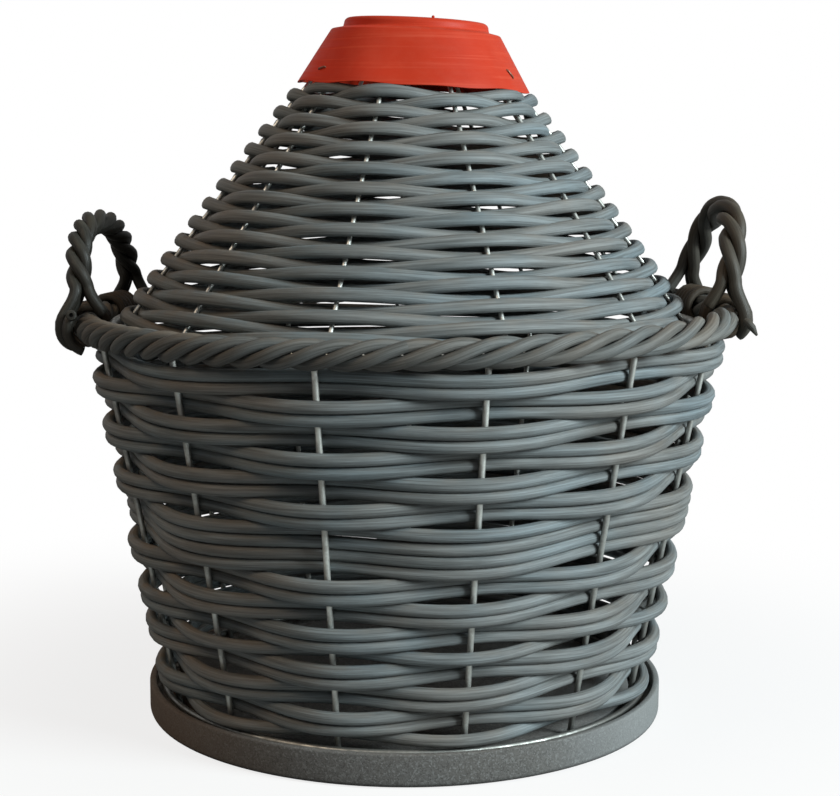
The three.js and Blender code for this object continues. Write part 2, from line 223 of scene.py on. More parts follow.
class Bench:
    """Makes meshes and hands finished pieces to the frame.

    Attributes:
        BORE_DEPTH: How deep the hole in a cut end is, in millimetres.
        LEAST_RIM: Least wall round that hole.
        HOOP_SIDES: Corners of a hoop's section.
        HOOP_STEPS: Segments of a hoop.
        ROD_SIDES: Corners of a straight wire's section.
        ROD_EASE: Rounding of a wire's end as a share of its radius.
    """

    BORE_DEPTH = 2.5
    LEAST_RIM = 0.1
    HOOP_SIDES = 14
    HOOP_STEPS = 144
    ROD_SIDES = 16
    ROD_EASE = 0.25

    @staticmethod
    def weld(form: Form) -> None:
        """Merge the corners that meet, then turn the faces outwards."""
        bmesh.ops.remove_doubles(form, verts=form.verts, dist=WELD)
        bmesh.ops.recalc_face_normals(form, faces=form.faces)

    @staticmethod
    def spin(form: Form, outline: list, steps: int) -> None:
        """Turn an outline once round the Z axis.

        Args:
            form: The shape that the outline is in.
            outline: Its corners and edges.
            steps: Segments of the turn.
        """
        bmesh.ops.spin(
            form,
            geom=outline,
            cent=(0.0, 0.0, 0.0),
            axis=(0.0, 0.0, 1.0),
            angle=math.tau,
            steps=steps,
            use_merge=True,
        )

    @classmethod
    def sweep(cls, path: Path, sides: int) -> Mesh:
        """Run a round section along a path.

        Args:
            path: The strand's middle line and radii.
            sides: Corners of the section, an even number.

        Returns:
            A mesh whose UV x runs along the strand in centimetres and y round it.
        """
        curve = bpy.data.curves.new("strand", "CURVE")
        curve.dimensions = "3D"
        curve.bevel_depth = MM
        curve.bevel_resolution = sides // 2 - 2
        curve.use_fill_caps = not path.closed
        spline = curve.splines.new("POLY")
        spline.points.add(len(path.points) - 1)
        spline.use_cyclic_u = path.closed
        for knot, place, radius in zip(spline.points, path.points, path.radii):
            knot.co = (*(place * MM), 1.0)
            knot.radius = radius
        holder = bpy.data.objects.new("strand", curve)
        bpy.context.scene.collection.objects.link(holder)
        graph = bpy.context.evaluated_depsgraph_get()
        mesh = bpy.data.meshes.new_from_object(holder.evaluated_get(graph))
        bpy.data.objects.remove(holder)
        bpy.data.curves.remove(curve)
        layer = mesh.uv_layers[0]
        places = np.zeros(2 * len(layer.data), np.float32)
        layer.data.foreach_get("uv", places)
        places[0::2] = places[0::2] * path.length() / 10.0 + path.mark
        layer.data.foreach_set("uv", places)
        if path.press:
            cls.flatten(mesh, path, sides)
        return mesh

    @staticmethod
    def flatten(mesh: Mesh, path: Path, sides: int) -> None:
        """Press the sections of a swept open strand flat.

        Args:
            mesh: The swept mesh, whose end caps come before its rings.
            path: The strand with its press directions.
            sides: Corners of each section.
        """
        count = len(path.points)
        rings = np.repeat([count - 1, 0, *range(count)], sides)
        places = np.zeros(3 * len(mesh.vertices), np.float32)
        mesh.vertices.foreach_get("co", places)
        corners = places.reshape(-1, 3)
        middles = np.array(path.points)[rings] * MM
        press = np.array(path.press)[rings]
        corners -= press * ((corners - middles) * press).sum(axis=1, keepdims=True)
        mesh.vertices.foreach_set("co", corners.ravel())

    @classmethod
    def strands(
        cls, name: str, paths: Sequence[Path], sides: int = 12, bore: float = 0.0
    ) -> Piece:
        """Make one piece of one or more strands.

        Args:
            name: The piece's name.
            paths: The strands.
            sides: Corners of each section.
            bore: Radius of the hole that shows at a cut end, 0 for none.

        Returns:
            The new object.
        """
        form = bmesh.new()
        for path in paths:
            swept = cls.sweep(path, sides)
            form.from_mesh(swept)
            bpy.data.meshes.remove(swept)
        cls.weld(form)
        if bore:
            cls.bore_ends(form, bore)
        return cls.finish(name, form, crease=0.9)

    @classmethod
    def bore_ends(cls, form: Form, bore: float) -> None:
        """Sink a hole into each cut end of a tubular strand.

        Args:
            form: The strand.
            bore: Radius of the hole in millimetres.
        """
        flats = [face for face in form.faces if len(face.verts) == 3]
        ends = bmesh.ops.dissolve_faces(form, faces=flats, use_verts=False)["region"]
        form.normal_update()
        for end in ends:
            reach = max((corner.co - end.calc_center_median()).length for corner in end.verts)
            rim = max(reach - bore * MM, cls.LEAST_RIM * MM)
            bmesh.ops.inset_individual(form, faces=[end], thickness=rim, use_even_offset=True)
            inward = -cls.BORE_DEPTH * MM * end.normal
            sunk = bmesh.ops.extrude_discrete_faces(form, faces=[end])["faces"]
            bmesh.ops.translate(form, vec=inward, verts=sunk[0].verts)

    @classmethod
    def finish(cls, name: str, form: Form, crease: float) -> Piece:
        """Weld a shape, shade it and make it an object.

        Args:
            name: The piece's name.
            form: The shape, which is used up.
            crease: Edges that turn more than this many radians stay sharp.

        Returns:
            The new object, at the origin.
        """
        cls.weld(form)
        for face in form.faces:
            face.smooth = True
        for edge in form.edges:
            edge.smooth = edge.calc_face_angle(0.0) < crease
        mesh = bpy.data.meshes.new(name)
        form.to_mesh(mesh)
        form.free()
        piece = bpy.data.objects.new(name, mesh)
        bpy.context.scene.collection.objects.link(piece)
        return piece

    @classmethod
    def turned(cls, profile: Sequence[Pair], steps: int) -> Form:
        """Turn a profile of radius and height about the Z axis.

        Args:
            profile: Points from the axis or round a closed wall, in millimetres.
            steps: Segments of the full turn.

        Returns:
            The turned shape, welded and facing out.
        """
        form = bmesh.new()
        line = [form.verts.new((radius * MM, 0.0, z * MM)) for radius, z in profile]
        edges = [form.edges.new(pair) for pair in zip(line, line[1:])]
        cls.spin(form, line + edges, steps)
        cls.weld(form)
        return form

    @staticmethod
    def soften(form: Form, radius: float, corner: float) -> None:
        """Round the edges that turn more than a corner angle.

        Args:
            form: The shape.
            radius: Width of the rounding in millimetres.
            corner: Least angle in radians.
        """
        sharp = [edge for edge in form.edges if edge.calc_face_angle(0.0) > corner]
        bmesh.ops.bevel(
            form,
            geom=sharp,
            offset=radius * MM,
            offset_type="OFFSET",
            affect="EDGES",
            segments=3,
            profile=0.5,
            clamp_overlap=True,
            material=-1,
        )

    @classmethod
    def hoop(cls, name: str, radius: float, z: float, wire: float, aside: float = 0.0) -> Piece:
        """Make a round wire hoop.

        Args:
            name: The piece's name.
            radius: Radius to the middle of the wire.
            z: Height of the middle of the wire.
            wire: Radius of the wire.
            aside: How far the hoop lies to +X of the Z axis.

        Returns:
            The new object.
        """
        form = bmesh.new()
        turn = Matrix.Translation((radius * MM, 0.0, z * MM))
        turn @= Matrix.Rotation(math.pi / 2, 4, "X")
        ring = bmesh.ops.create_circle(
            form, segments=cls.HOOP_SIDES, radius=wire * MM, matrix=turn
        )
        cls.spin(form, ring["verts"] + form.edges[:], cls.HOOP_STEPS)
        bmesh.ops.translate(form, vec=(aside * MM, 0.0, 0.0), verts=form.verts)
        return cls.finish(name, form, crease=1.2)

    @classmethod
    def rod(cls, name: str, start: Vector, end: Vector, wire: float) -> Piece:
        """Make a straight wire with eased ends.

        Args:
            name: The piece's name.
            start: Middle of one end in millimetres.
            end: Middle of the other end.
            wire: Radius of the wire.

        Returns:
            The new object.
        """
        form = bmesh.new()
        axis = end - start
        turn = Matrix.Translation((start + end) * 0.5 * MM)
        turn @= axis.to_track_quat("Z", "Y").to_matrix().to_4x4()
        bmesh.ops.create_cone(
            form,
            cap_ends=True,
            segments=cls.ROD_SIDES,
            radius1=wire * MM,
            radius2=wire * MM,
            depth=axis.length * MM,
            matrix=turn,
        )
        cls.soften(form, wire * cls.ROD_EASE, corner=1.0)
        return cls.finish(name, form, crease=0.7)

    @staticmethod
    def hand_over(
        piece: Piece,
        body: Body,
        slot: Slot,
        material: Material,
        nodes: Sequence[str] = (),
    ) -> None:
        """Dress a piece and set it on its body.

        Args:
            piece: The finished object.
            body: The body that it rides on.
            slot: The record's material slot; not used.
            material: Its finish.
            nodes: CAD nodes that it stands for.
        """
        piece.data.materials.clear()
        piece.data.materials.append(material)
        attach(piece, body.value)
        if nodes:
            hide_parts(*nodes)
        LOG.info("%s: %d faces on %s", piece.name, len(piece.data.polygons), body.value)


class Graph:
    """A node tree with short calls to add and join nodes."""

    def __init__(self, tree: Tree) -> None:
        """Hold the tree."""
        self.tree = tree

    def feed(self, socket: Socket, value: Feed) -> None:
        """Join an output to an input, or set the input's value."""
        if isinstance(value, Socket):
            self.tree.links.new(value, socket)
        else:
            socket.default_value = value

    def add(
        self, kind: str, settings: dict | None = None, inputs: dict | None = None
    ) -> bpy.types.Node:
        """Add a node.

        Args:
            kind: The node's type name.
            settings: Properties of the node by name.
            inputs: Values or output sockets by input name or number.

        Returns:
            The new node.
        """
        node = self.tree.nodes.new(kind)
        for key, value in (settings or {}).items():
            setattr(node, key, value)
        for key, value in (inputs or {}).items():
            self.feed(node.inputs[key], value)
        return node

    def math(self, operation: str, a: Feed, b: Feed = 0.0, clamp: bool = False) -> Socket:
        """Add a Math node on two values or sockets and give its output."""
        settings = {"operation": operation, "use_clamp": clamp}
        return self.add("ShaderNodeMath", settings, {0: a, 1: b}).outputs[0]

    def times(self, a: Feed, b: Feed, clamp: bool = False) -> Socket:
        """Multiply two values."""
        return self.math("MULTIPLY", a, b, clamp)

    def plus(self, a: Feed, b: Feed) -> Socket:
        """Add two values."""
        return self.math("ADD", a, b)

    def mix(self, factor: Feed, a: Feed, b: Feed, blend: str = "MIX") -> Socket:
        """Mix two colours and give the result's socket.

        Args:
            factor: Share of the second colour, a value or a socket.
            a: First colour, a socket or three numbers.
            b: Second colour, a socket or three numbers.
            blend: Blender's blend type.

        Returns:
            The colour socket.
        """
        node = self.add("ShaderNodeMix", {"data_type": "RGBA", "blend_type": blend})
        for key, value in {0: factor, 6: a, 7: b}.items():
            self.feed(node.inputs[key], (*value, 1.0) if isinstance(value, tuple) else value)
        return node.outputs[2]

    def tint(self, a: Feed, b: Feed) -> Socket:
        """Multiply two colours."""
        return self.mix(1.0, a, b, "MULTIPLY")

    def span(
        self, value: Feed, low: float, high: float, to_low: float = 0.0, to_high: float = 1.0
    ) -> Socket:
        """Map a range of values smoothly to another and give the socket."""
        settings = {"interpolation_type": "SMOOTHSTEP"}
        inputs = {0: value, 1: low, 2: high, 3: to_low, 4: to_high}
        return self.add("ShaderNodeMapRange", settings, inputs).outputs[0]

    def noise(self, place: Feed, scale: Feed, detail: float, roughness: float = 0.5) -> Socket:
        """Add a noise texture and give its value."""
        inputs = {"Vector": place, "Scale": scale, "Detail": detail, "Roughness": roughness}
        return self.add("ShaderNodeTexNoise", None, inputs).outputs[0]

    def place(self, kind: str = "Object") -> Socket:
        """Give the texture coordinates of a kind."""
        return self.add("ShaderNodeTexCoord").outputs[kind]

    def parts(self, vector: Socket) -> tuple[Socket, ...]:
        """Split a vector into X, Y and Z."""
        return tuple(self.add("ShaderNodeSeparateXYZ", None, {0: vector}).outputs)

    def join(self, *values: Feed) -> Socket:
        """Make a vector of X, Y and Z, with 0 for those not given."""
        return self.add("ShaderNodeCombineXYZ", None, dict(enumerate(values))).outputs[0]


class Effects:
    """Node groups that several finishes share."""

    def __init__(self) -> None:
        """Build each group once."""
        self.streaks = self._streaks()
        self.drift = self._drift()
        self.dust = self._dust()

    @staticmethod
    def _group(name: str, inputs: dict[str, float], outputs: Sequence[str]) -> Graph:
        """Start a group with float inputs and outputs.

        Args:
            name: The group's name.
            inputs: Default value of each input.
            outputs: Output names.

        Returns:
            The group's graph.
        """
        tree = bpy.data.node_groups.new(name, "ShaderNodeTree")
        for key, value in inputs.items():
            socket = tree.interface.new_socket(key, in_out="INPUT", socket_type="NodeSocketFloat")
            socket.default_value = value
        for key in outputs:
            tree.interface.new_socket(key, in_out="OUTPUT", socket_type="NodeSocketFloat")
        return Graph(tree)

    @staticmethod
    def _close(graph: Graph, *results: Socket) -> Tree:
        """Join the results to a group's outputs, in order, and give the group."""
        graph.add("NodeGroupOutput", None, dict(enumerate(results)))
        return graph.tree

    def _streaks(self) -> Tree:
        """Build fine lines that run along an extruded strand, by its own UV map."""
        graph = self._group(
            "lengthwise streaks", {"Along": 0.35, "Across": 7.0}, ("Streak", "Fine", "Rib", "Reel")
        )
        ends = graph.add("NodeGroupInput").outputs
        length, girth, _ = graph.parts(graph.place("UV"))
        folded = graph.math("ABSOLUTE", graph.math("SUBTRACT", graph.times(girth, 2.0), 1.0))
        along = graph.times(length, ends["Along"])
        place = graph.join(along, graph.times(folded, ends["Across"]))
        reel = graph.join(graph.times(along, 0.2))
        wave = graph.math("SINE", graph.times(folded, 10.0 * math.pi))
        return self._close(
            graph,
            graph.span(graph.noise(place, 1.0, 3.0, 0.6), 0.3, 0.7),
            graph.span(graph.noise(place, 3.7, 2.0, 0.55), 0.3, 0.7),
            graph.plus(graph.times(wave, 0.5), 0.5),
            graph.span(graph.noise(reel, 1.0, 2.0), 0.36, 0.64),
        )

    def _drift(self) -> Tree:
        """Build slow changes of tone over a piece, with small flecks."""
        graph = self._group("tone drift", {"Scale": 22.0}, ("Drift", "Fleck"))
        scale = graph.add("NodeGroupInput").outputs["Scale"]
        place = graph.place()
        slow = graph.noise(place, scale, 3.0, 0.6)
        quick = graph.noise(place, graph.times(scale, 40.0), 2.0)
        return self._close(graph, graph.span(slow, 0.36, 0.64), graph.span(quick, 0.56, 0.72))

    def _dust(self) -> Tree:
        """Build a patchy film that lies on what faces up."""
        graph = self._group("settled dust", {"Scale": 60.0, "Steepness": 0.35}, ("Dust",))
        ends = graph.add("NodeGroupInput").outputs
        steep = ends["Steepness"]
        rise = graph.parts(graph.place("Normal"))[2]
        facing = graph.math(
            "DIVIDE",
            graph.math("SUBTRACT", rise, steep),
            graph.math("SUBTRACT", 1.0, steep),
            clamp=True,
        )
        patches = graph.noise(graph.place(), ends["Scale"], 4.0, 0.62)
        return self._close(graph, graph.times(facing, graph.span(patches, 0.38, 0.66)))

    @staticmethod
    def use(
        graph: Graph, tree: Tree, **values: float
    ) -> bpy.types.bpy_prop_collection:
        """Place a group in a material.

        Args:
            graph: The material's graph.
            tree: The group.
            values: Input values by name.

        Returns:
            The group's outputs by name.
        """
        return graph.add("ShaderNodeGroup", {"node_tree": tree}, values).outputs


class Finish:
    """A procedural material, built once and kept."""

    def __init__(self, name: str) -> None:
        """Start the material with its shader.

        Args:
            name: The material's name.
        """
        self.material = bpy.data.materials.new(name)
        self.material.use_nodes = True
        self.graph = Graph(self.material.node_tree)
        self.shader = self.material.node_tree.nodes["Principled BSDF"]

    def feed(self, name: str, value: Feed) -> None:
        """Feed an input of the shader by its name."""
        self.graph.feed(self.shader.inputs[name], value)

    def relief(self, height: Socket, depth: float, strength: float) -> None:
        """Feed the normal from a height.

        Args:
            height: The height socket.
            depth: Depth of the relief in millimetres.
            strength: Strength of the bump.
        """
        inputs = {"Height": height, "Distance": depth * MM, "Strength": strength}
        self.feed("Normal", self.graph.add("ShaderNodeBump", None, inputs).outputs[0])


@dataclass(frozen=True)
class Look:
    """What one material of the basket looks like.

    Attributes:
        name: The material's name.
    """

    name: str

    def build(self, effects: Effects) -> Material:
        """Build the material.

        Args:
            effects: The shared node groups.

        Returns:
            The material.
        """
        finish = Finish(self.name)
        self.dress(finish, finish.graph, effects)
        return finish.material

    def dress(self, finish: Finish, graph: Graph, effects: Effects) -> None:
        """Add the look's own nodes.

        Args:
            finish: The material's shader.
            graph: The material's node tree.
            effects: The shared node groups.
        """
        raise NotImplementedError


@dataclass(frozen=True)
class StrandLook(Look):
    """Extruded plastic strand: satin, finely streaked along its length.

    Attributes:
        cool: Main colour.
        warm: Colour that it drifts to.
        film: Colour of the dust on it.
        film_share: How much of the dust shows.
        gloss: Roughness of the smoother streaks.
        painted_key_light: Painted light: how much paler the right side is painted, where the key
            lamp falls, with the middle and left a little darker.
        groove: Shade of the darker streaks.
        ridge: Shade of the finest, paler lines.
    """

    cool: Colour
    warm: Colour
    film: Colour
    film_share: float
    gloss: float
    painted_key_light: float = 0.0
    groove: Colour = (0.5, 0.49, 0.48)
    ridge: Colour = (1.45, 1.45, 1.45)

    def dress(self, finish: Finish, graph: Graph, effects: Effects) -> None:
        """Streak the strand along its length, lay dust on what faces up, heavier on the left as
        painted warm light, and paint light on the right side.
        """
        streaks = effects.use(graph, effects.streaks, Along=0.3, Across=8.0)
        drift = effects.use(graph, effects.drift, Scale=20.0)
        dust = effects.use(graph, effects.dust, Scale=85.0, Steepness=0.3)
        aside = graph.parts(graph.place())[0]
        share = graph.plus(graph.times(drift["Drift"], 0.4), graph.times(streaks["Reel"], 0.6))
        # Painted light: the right side is painted paler and the middle and left a little darker,
        # standing in for the key lamp on the right.
        painted_light_tint = graph.span(aside, 0.0, 0.09, 1.0 - 0.4 * self.painted_key_light, 1.0 + self.painted_key_light)
        tone = graph.tint(graph.mix(share, self.cool, self.warm), painted_light_tint)
        lined = graph.mix(streaks["Streak"], graph.tint(tone, self.groove), tone)
        fine = graph.times(streaks["Fine"], 0.55)
        lined = graph.mix(fine, lined, graph.tint(lined, self.ridge))
        # Painted warm light: the dust film is laid up to 2.6 times heavier on the left side,
        # standing in for the warm fill lamp there.
        painted_left_warmth = graph.span(aside, -0.02, -0.11, 1.0, 2.6)
        film = graph.times(graph.times(dust["Dust"], self.film_share), painted_left_warmth, clamp=True)
        finish.feed("Base Color", graph.mix(film, lined, self.film))
        finish.feed("Specular IOR Level", 0.25)
        rough = graph.plus(graph.times(streaks["Streak"], 0.16), self.gloss)
        finish.feed("Roughness", graph.plus(rough, graph.times(film, 0.5)))
        height = graph.plus(graph.times(streaks["Fine"], 0.6), graph.times(streaks["Rib"], 0.4))
        finish.relief(height, 0.12, 0.55)


@dataclass(frozen=True)
class WireLook(Look):
    """Galvanised wire: zinc with bright flecks and staining, darker towards the basket's left and
    right sides, with painted shade at the foot inside the tray's channel.
    """

    name: str = "galvanised wire"
    zinc: Colour = (0.86, 0.87, 0.82)
    stain: Colour = (0.3, 0.28, 0.25)
    bright: Colour = (0.9, 0.9, 0.87)

    def dress(self, finish: Finish, graph: Graph, effects: Effects) -> None:
        """Stain and fleck the zinc, darken it towards the sides and paint shade on its foot."""
        drift = effects.use(graph, effects.drift, Scale=180.0)
        tone = graph.mix(graph.times(drift["Drift"], 0.6), self.zinc, self.stain)
        tone = graph.mix(graph.times(drift["Fleck"], 0.5), tone, self.bright)
        aside, _, height = graph.parts(graph.place())
        # Darker towards the basket's sides, and painted shade below 12 mm, where the stakes and
        # the foot hoop sit in the tray's channel.
        dimmed_sides_and_painted_foot_shade = graph.times(
            graph.span(graph.math("ABSOLUTE", aside), 0.03, 0.085, 1.0, 0.6),
            graph.span(height, 0.012, 0.022, 0.45),
        )
        finish.feed("Base Color", graph.tint(tone, dimmed_sides_and_painted_foot_shade))
        finish.feed("Metallic", 0.85)
        finish.feed("Roughness", graph.span(drift["Drift"], 0.0, 1.0, 0.34, 0.55))
        finish.relief(drift["Fleck"], 0.03, 0.4)


@dataclass(frozen=True)
class MouldedLook(Look):
    """Moulded base: coarse, speckled and matt, with painted shade along the underside edge."""

    name: str = "speckled moulding"
    ground: Colour = (0.105, 0.1, 0.096)
    worn: Colour = (0.1, 0.09, 0.08)
    dark: Colour = (0.035, 0.032, 0.029)
    light: Colour = (0.22, 0.22, 0.215)
    painted_right_light: Colour = (0.3, 0.31, 0.31)
    painted_warm_left: Colour = (0.13, 0.088, 0.062)
    foot: Colour = (0.014, 0.013, 0.012)
    film: Colour = (0.2, 0.18, 0.16)

    def dress(self, finish: Finish, graph: Graph, effects: Effects) -> None:
        """Speckle the moulding, then lay painted light on the right side, painted warm light on
        the left, painted shade along the foot and dust over it.
        """
        place = graph.place()
        drift = effects.use(graph, effects.drift, Scale=26.0)
        dust = effects.use(graph, effects.dust, Scale=120.0, Steepness=0.5)
        grain = graph.add(
            "ShaderNodeTexVoronoi", None, {"Vector": place, "Scale": 1900.0, "Randomness": 1.0}
        )
        pick = graph.add("ShaderNodeSeparateColor", None, {0: grain.outputs["Color"]}).outputs[0]
        clump = graph.noise(place, 520.0, 4.0, 0.65)
        pale = graph.times(graph.span(pick, 0.6, 0.95), graph.span(clump, 0.38, 0.62, 0.25))
        deep = graph.times(graph.span(pick, 0.4, 0.05), graph.span(clump, 0.62, 0.38, 0.2))
        aside, _, height = graph.parts(place)
        tone = graph.mix(graph.times(drift["Drift"], 0.5), self.ground, self.worn)
        for share, colour in (
            (graph.times(pale, 0.6), self.light),
            (graph.times(deep, 0.6), self.dark),
            # Painted light: the right side is painted paler, standing in for the key lamp there.
            (graph.span(aside, 0.035, 0.092, 0.0, 0.5), self.painted_right_light),
            # Painted warm light: the left side is painted browner, standing in for the warm fill
            # lamp there.
            (graph.span(aside, -0.03, -0.09, 0.0, 0.6), self.painted_warm_left),
            # Painted shade: the lowest 2.2 mm, where the base meets the floor, is painted almost
            # black.
            (graph.span(height, 0.0022, 0.0, 0.0, 0.75), self.foot),
            (graph.times(dust["Dust"], 0.3), self.film),
        ):
            tone = graph.mix(share, tone, colour)
        finish.feed("Base Color", tone)
        finish.feed("Roughness", graph.span(clump, 0.3, 0.7, 0.7, 0.95))
        finish.relief(graph.plus(graph.times(pick, 0.5), clump), 0.25, 0.8)


@dataclass(frozen=True)
class CollarLook(Look):
    """Thin satin plastic in orange red, with faint drawn lines round it, darker patches and
    painted light on its left side.
    """

    name: str = "collar plastic"
    ground: Colour = (0.47, 0.036, 0.014)
    deep: Colour = (0.375, 0.026, 0.011)
    pale: Colour = (0.58, 0.085, 0.045)
    film: Colour = (0.55, 0.25, 0.17)
    painted_left_light: Colour = (1.75, 1.45, 1.3)

    def dress(self, finish: Finish, graph: Graph, effects: Effects) -> None:
        """Draw the lines round the collar, dust it and paint light onto its left side."""
        place = graph.place()
        turned = graph.add(
            "ShaderNodeMapping",
            None,
            {
                "Vector": place,
                "Rotation": (0.0, math.radians(-2.4), 0.0),
                "Scale": (16.0, 16.0, 900.0),
            },
        )
        lines = graph.noise(turned.outputs[0], 1.0, 3.0, 0.6)
        drift = effects.use(graph, effects.drift, Scale=30.0)
        dust = effects.use(graph, effects.dust, Scale=140.0, Steepness=0.2)
        tone = graph.mix(graph.times(drift["Drift"], 0.5), self.ground, self.deep)
        tone = graph.mix(graph.times(graph.span(lines, 0.52, 0.72), 0.4), tone, self.pale)
        tone = graph.mix(graph.times(dust["Dust"], 0.07), tone, self.film)
        aside = graph.parts(place)[0]
        # Painted light: the left side is painted paler, standing in for the light that falls on it
        # there.
        painted_lit_tone = graph.tint(tone, self.painted_left_light)
        finish.feed("Base Color", graph.mix(graph.span(aside, 0.006, -0.034), tone, painted_lit_tone))
        finish.feed("Specular IOR Level", 0.12)
        finish.feed("Roughness", graph.span(lines, 0.3, 0.7, 0.4, 0.58))
        finish.relief(lines, 0.08, 0.35)


@dataclass(frozen=True)
class StapleLook(Look):
    """Dull steel of the staples, spotted with rust."""

    name: str = "staple steel"
    steel: Colour = (0.3, 0.13, 0.085)
    rust: Colour = (0.2, 0.06, 0.032)

    def dress(self, finish: Finish, graph: Graph, effects: Effects) -> None:
        """Spot the steel with rust."""
        spots = effects.use(graph, effects.drift, Scale=500.0)["Drift"]
        finish.feed("Base Color", graph.mix(spots, self.steel, self.rust))
        finish.feed("Metallic", 0.3)
        finish.feed("Roughness", graph.span(spots, 0.0, 1.0, 0.4, 0.7))


@dataclass(frozen=True)
class Stock:
    """Strand and wire sizes that the pieces share, and how the weave is laid out.

    Attributes:
        clear: Gap between pieces that touch.
        strand: Width of the woven strand.
        stake: Width of the tub's stakes.
        hat_stake: Width of the hat's stakes.
        hoop: Width of the hoops, apart from the hat's foot.
        hat_hoop: Width of the hoop at the hat's foot.
        fine: Points from one stake to the next.
        tuck: How far a strand runs past its end stakes, in stakes.
        cut: How far the rounding of a cut end reaches.
    """

    clear: float = 0.3
    strand: float = 3.9
    stake: float = 2.1
    hat_stake: float = 1.6
    hoop: float = 2.4
    hat_hoop: float = 4.0
    fine: int = 10
    tuck: float = 0.16
    cut: float = 0.6

    def stations(self, start: float, end: float) -> list[float]:
        """Give the places of a strand's points, counted in stakes.

        Args:
            start: First stake number.
            end: Last stake number.

        Returns:
            Stake numbers with fractions, from just before the start to just past the end.
        """
        first, last = start - self.tuck, end + self.tuck
        steps = round((last - first) * self.fine)
        return [first + (last - first) * i / steps for i in range(steps + 1)]

    @property
    def strand_r(self) -> float:
        """Give the strand's radius."""
        return self.strand / 2.0

    @property
    def hoop_r(self) -> float:
        """Give the hoop wire's radius."""
        return self.hoop / 2.0


@dataclass
class Palette:
    """Every finish of the basket."""

    effects: Effects = field(default_factory=Effects)

    def __post_init__(self) -> None:
        """Build the materials."""
        self.strand = StrandLook(
            "woven strand",
            cool=(0.172, 0.208, 0.224),
            warm=(0.192, 0.184, 0.172),
            film=(0.26, 0.19, 0.13),
            film_share=0.2,
            gloss=0.42,
        ).build(self.effects)
        self.rope = StrandLook(
            "rope strand",
            cool=(0.116, 0.127, 0.128),
            warm=(0.138, 0.126, 0.112),
            film=(0.22, 0.165, 0.115),
            film_share=0.26,
            gloss=0.46,
            painted_key_light=0.17,
        ).build(self.effects)
        self.grip = StrandLook(
            "handle strand",
            cool=(0.03, 0.032, 0.028),
            warm=(0.038, 0.034, 0.028),
            film=(0.09, 0.08, 0.06),
            film_share=0.22,
            gloss=0.36,
        ).build(self.effects)
        self.worn_grip = StrandLook(
            "worn handle strand",
            cool=(0.052, 0.052, 0.047),
            warm=(0.066, 0.052, 0.037),
            film=(0.15, 0.105, 0.065),
            film_share=0.3,
            gloss=0.4,
        ).build(self.effects)
        self.binding = StrandLook(
            "binding strand",
            cool=(0.04, 0.034, 0.027),
            warm=(0.06, 0.042, 0.027),
            film=(0.12, 0.075, 0.042),
            film_share=0.4,
            gloss=0.5,
        ).build(self.effects)
        self.wire = WireLook().build(self.effects)
        self.moulded = MouldedLook().build(self.effects)
        self.collar = CollarLook().build(self.effects)
        self.staple = StapleLook().build(self.effects)


@dataclass
class BaseTray:
    """The moulded base, a shallow tray with a lip."""

    radius: float = 95.7
    lip_height: float = 11.5
    lip: float = 2.5
    floor: float = 4.0
    seat_height: float = 8.5
    edge: float = 1.0
    ease: float = 0.7
    steps: int = 160
    sag_from: float = 9.0

    def build(self, palette: Palette, seat_radius: float) -> None:
        """Turn the tray and roughen its edge.

        Args:
            palette: The finishes.
            seat_radius: Radius of the raised seat inside the circle of stakes.
        """
        inner = self.radius - self.lip
        profile = [
            (0.0, 0.0),
            (self.radius - self.edge, 0.0),
            (self.radius, self.edge),
            (self.radius, self.lip_height),
            (inner, self.lip_height),
            (inner, self.floor),
            (seat_radius, self.floor),
            (seat_radius, self.seat_height),
            (0.0, self.seat_height),
        ]
        form = Bench.turned(profile, self.steps)
        Bench.soften(form, self.ease, corner=0.6)
        uneven = Wobble(7, 1.1, 0.12)
        sag = Wobble(8, 2.4, 0.15)
        for corner in form.verts:
            azimuth = math.atan2(corner.co.x, -corner.co.y)
            reach = math.hypot(corner.co.x, corner.co.y)
            if reach > (inner - 0.5) * MM:
                grow = 1.0 + uneven.at(azimuth) * MM / reach
                corner.co.x *= grow
                corner.co.y *= grow
            if corner.co.z > self.sag_from * MM:
                corner.co.z += sag.at(azimuth) * MM
        piece = Bench.finish("base_tray", form, crease=0.8)
        Bench.hand_over(piece, Body.TUB, Slot.BASE, palette.moulded, ["base"])


@dataclass(frozen=True)
class Run:
    """One strand of the tub, between two stake numbers that run on from turn to turn.

    Attributes:
        name: The strand's name.
        start: First stake number.
        end: Last stake number.
        side: The side on which it passes the even stakes.
        upper: True for the upper strand of the pair.
        at_foot: True where it begins on the foot hoop and is lifted clear of it.
    """

    name: str
    start: int
    end: int
    side: Side
    upper: bool
    at_foot: bool = False


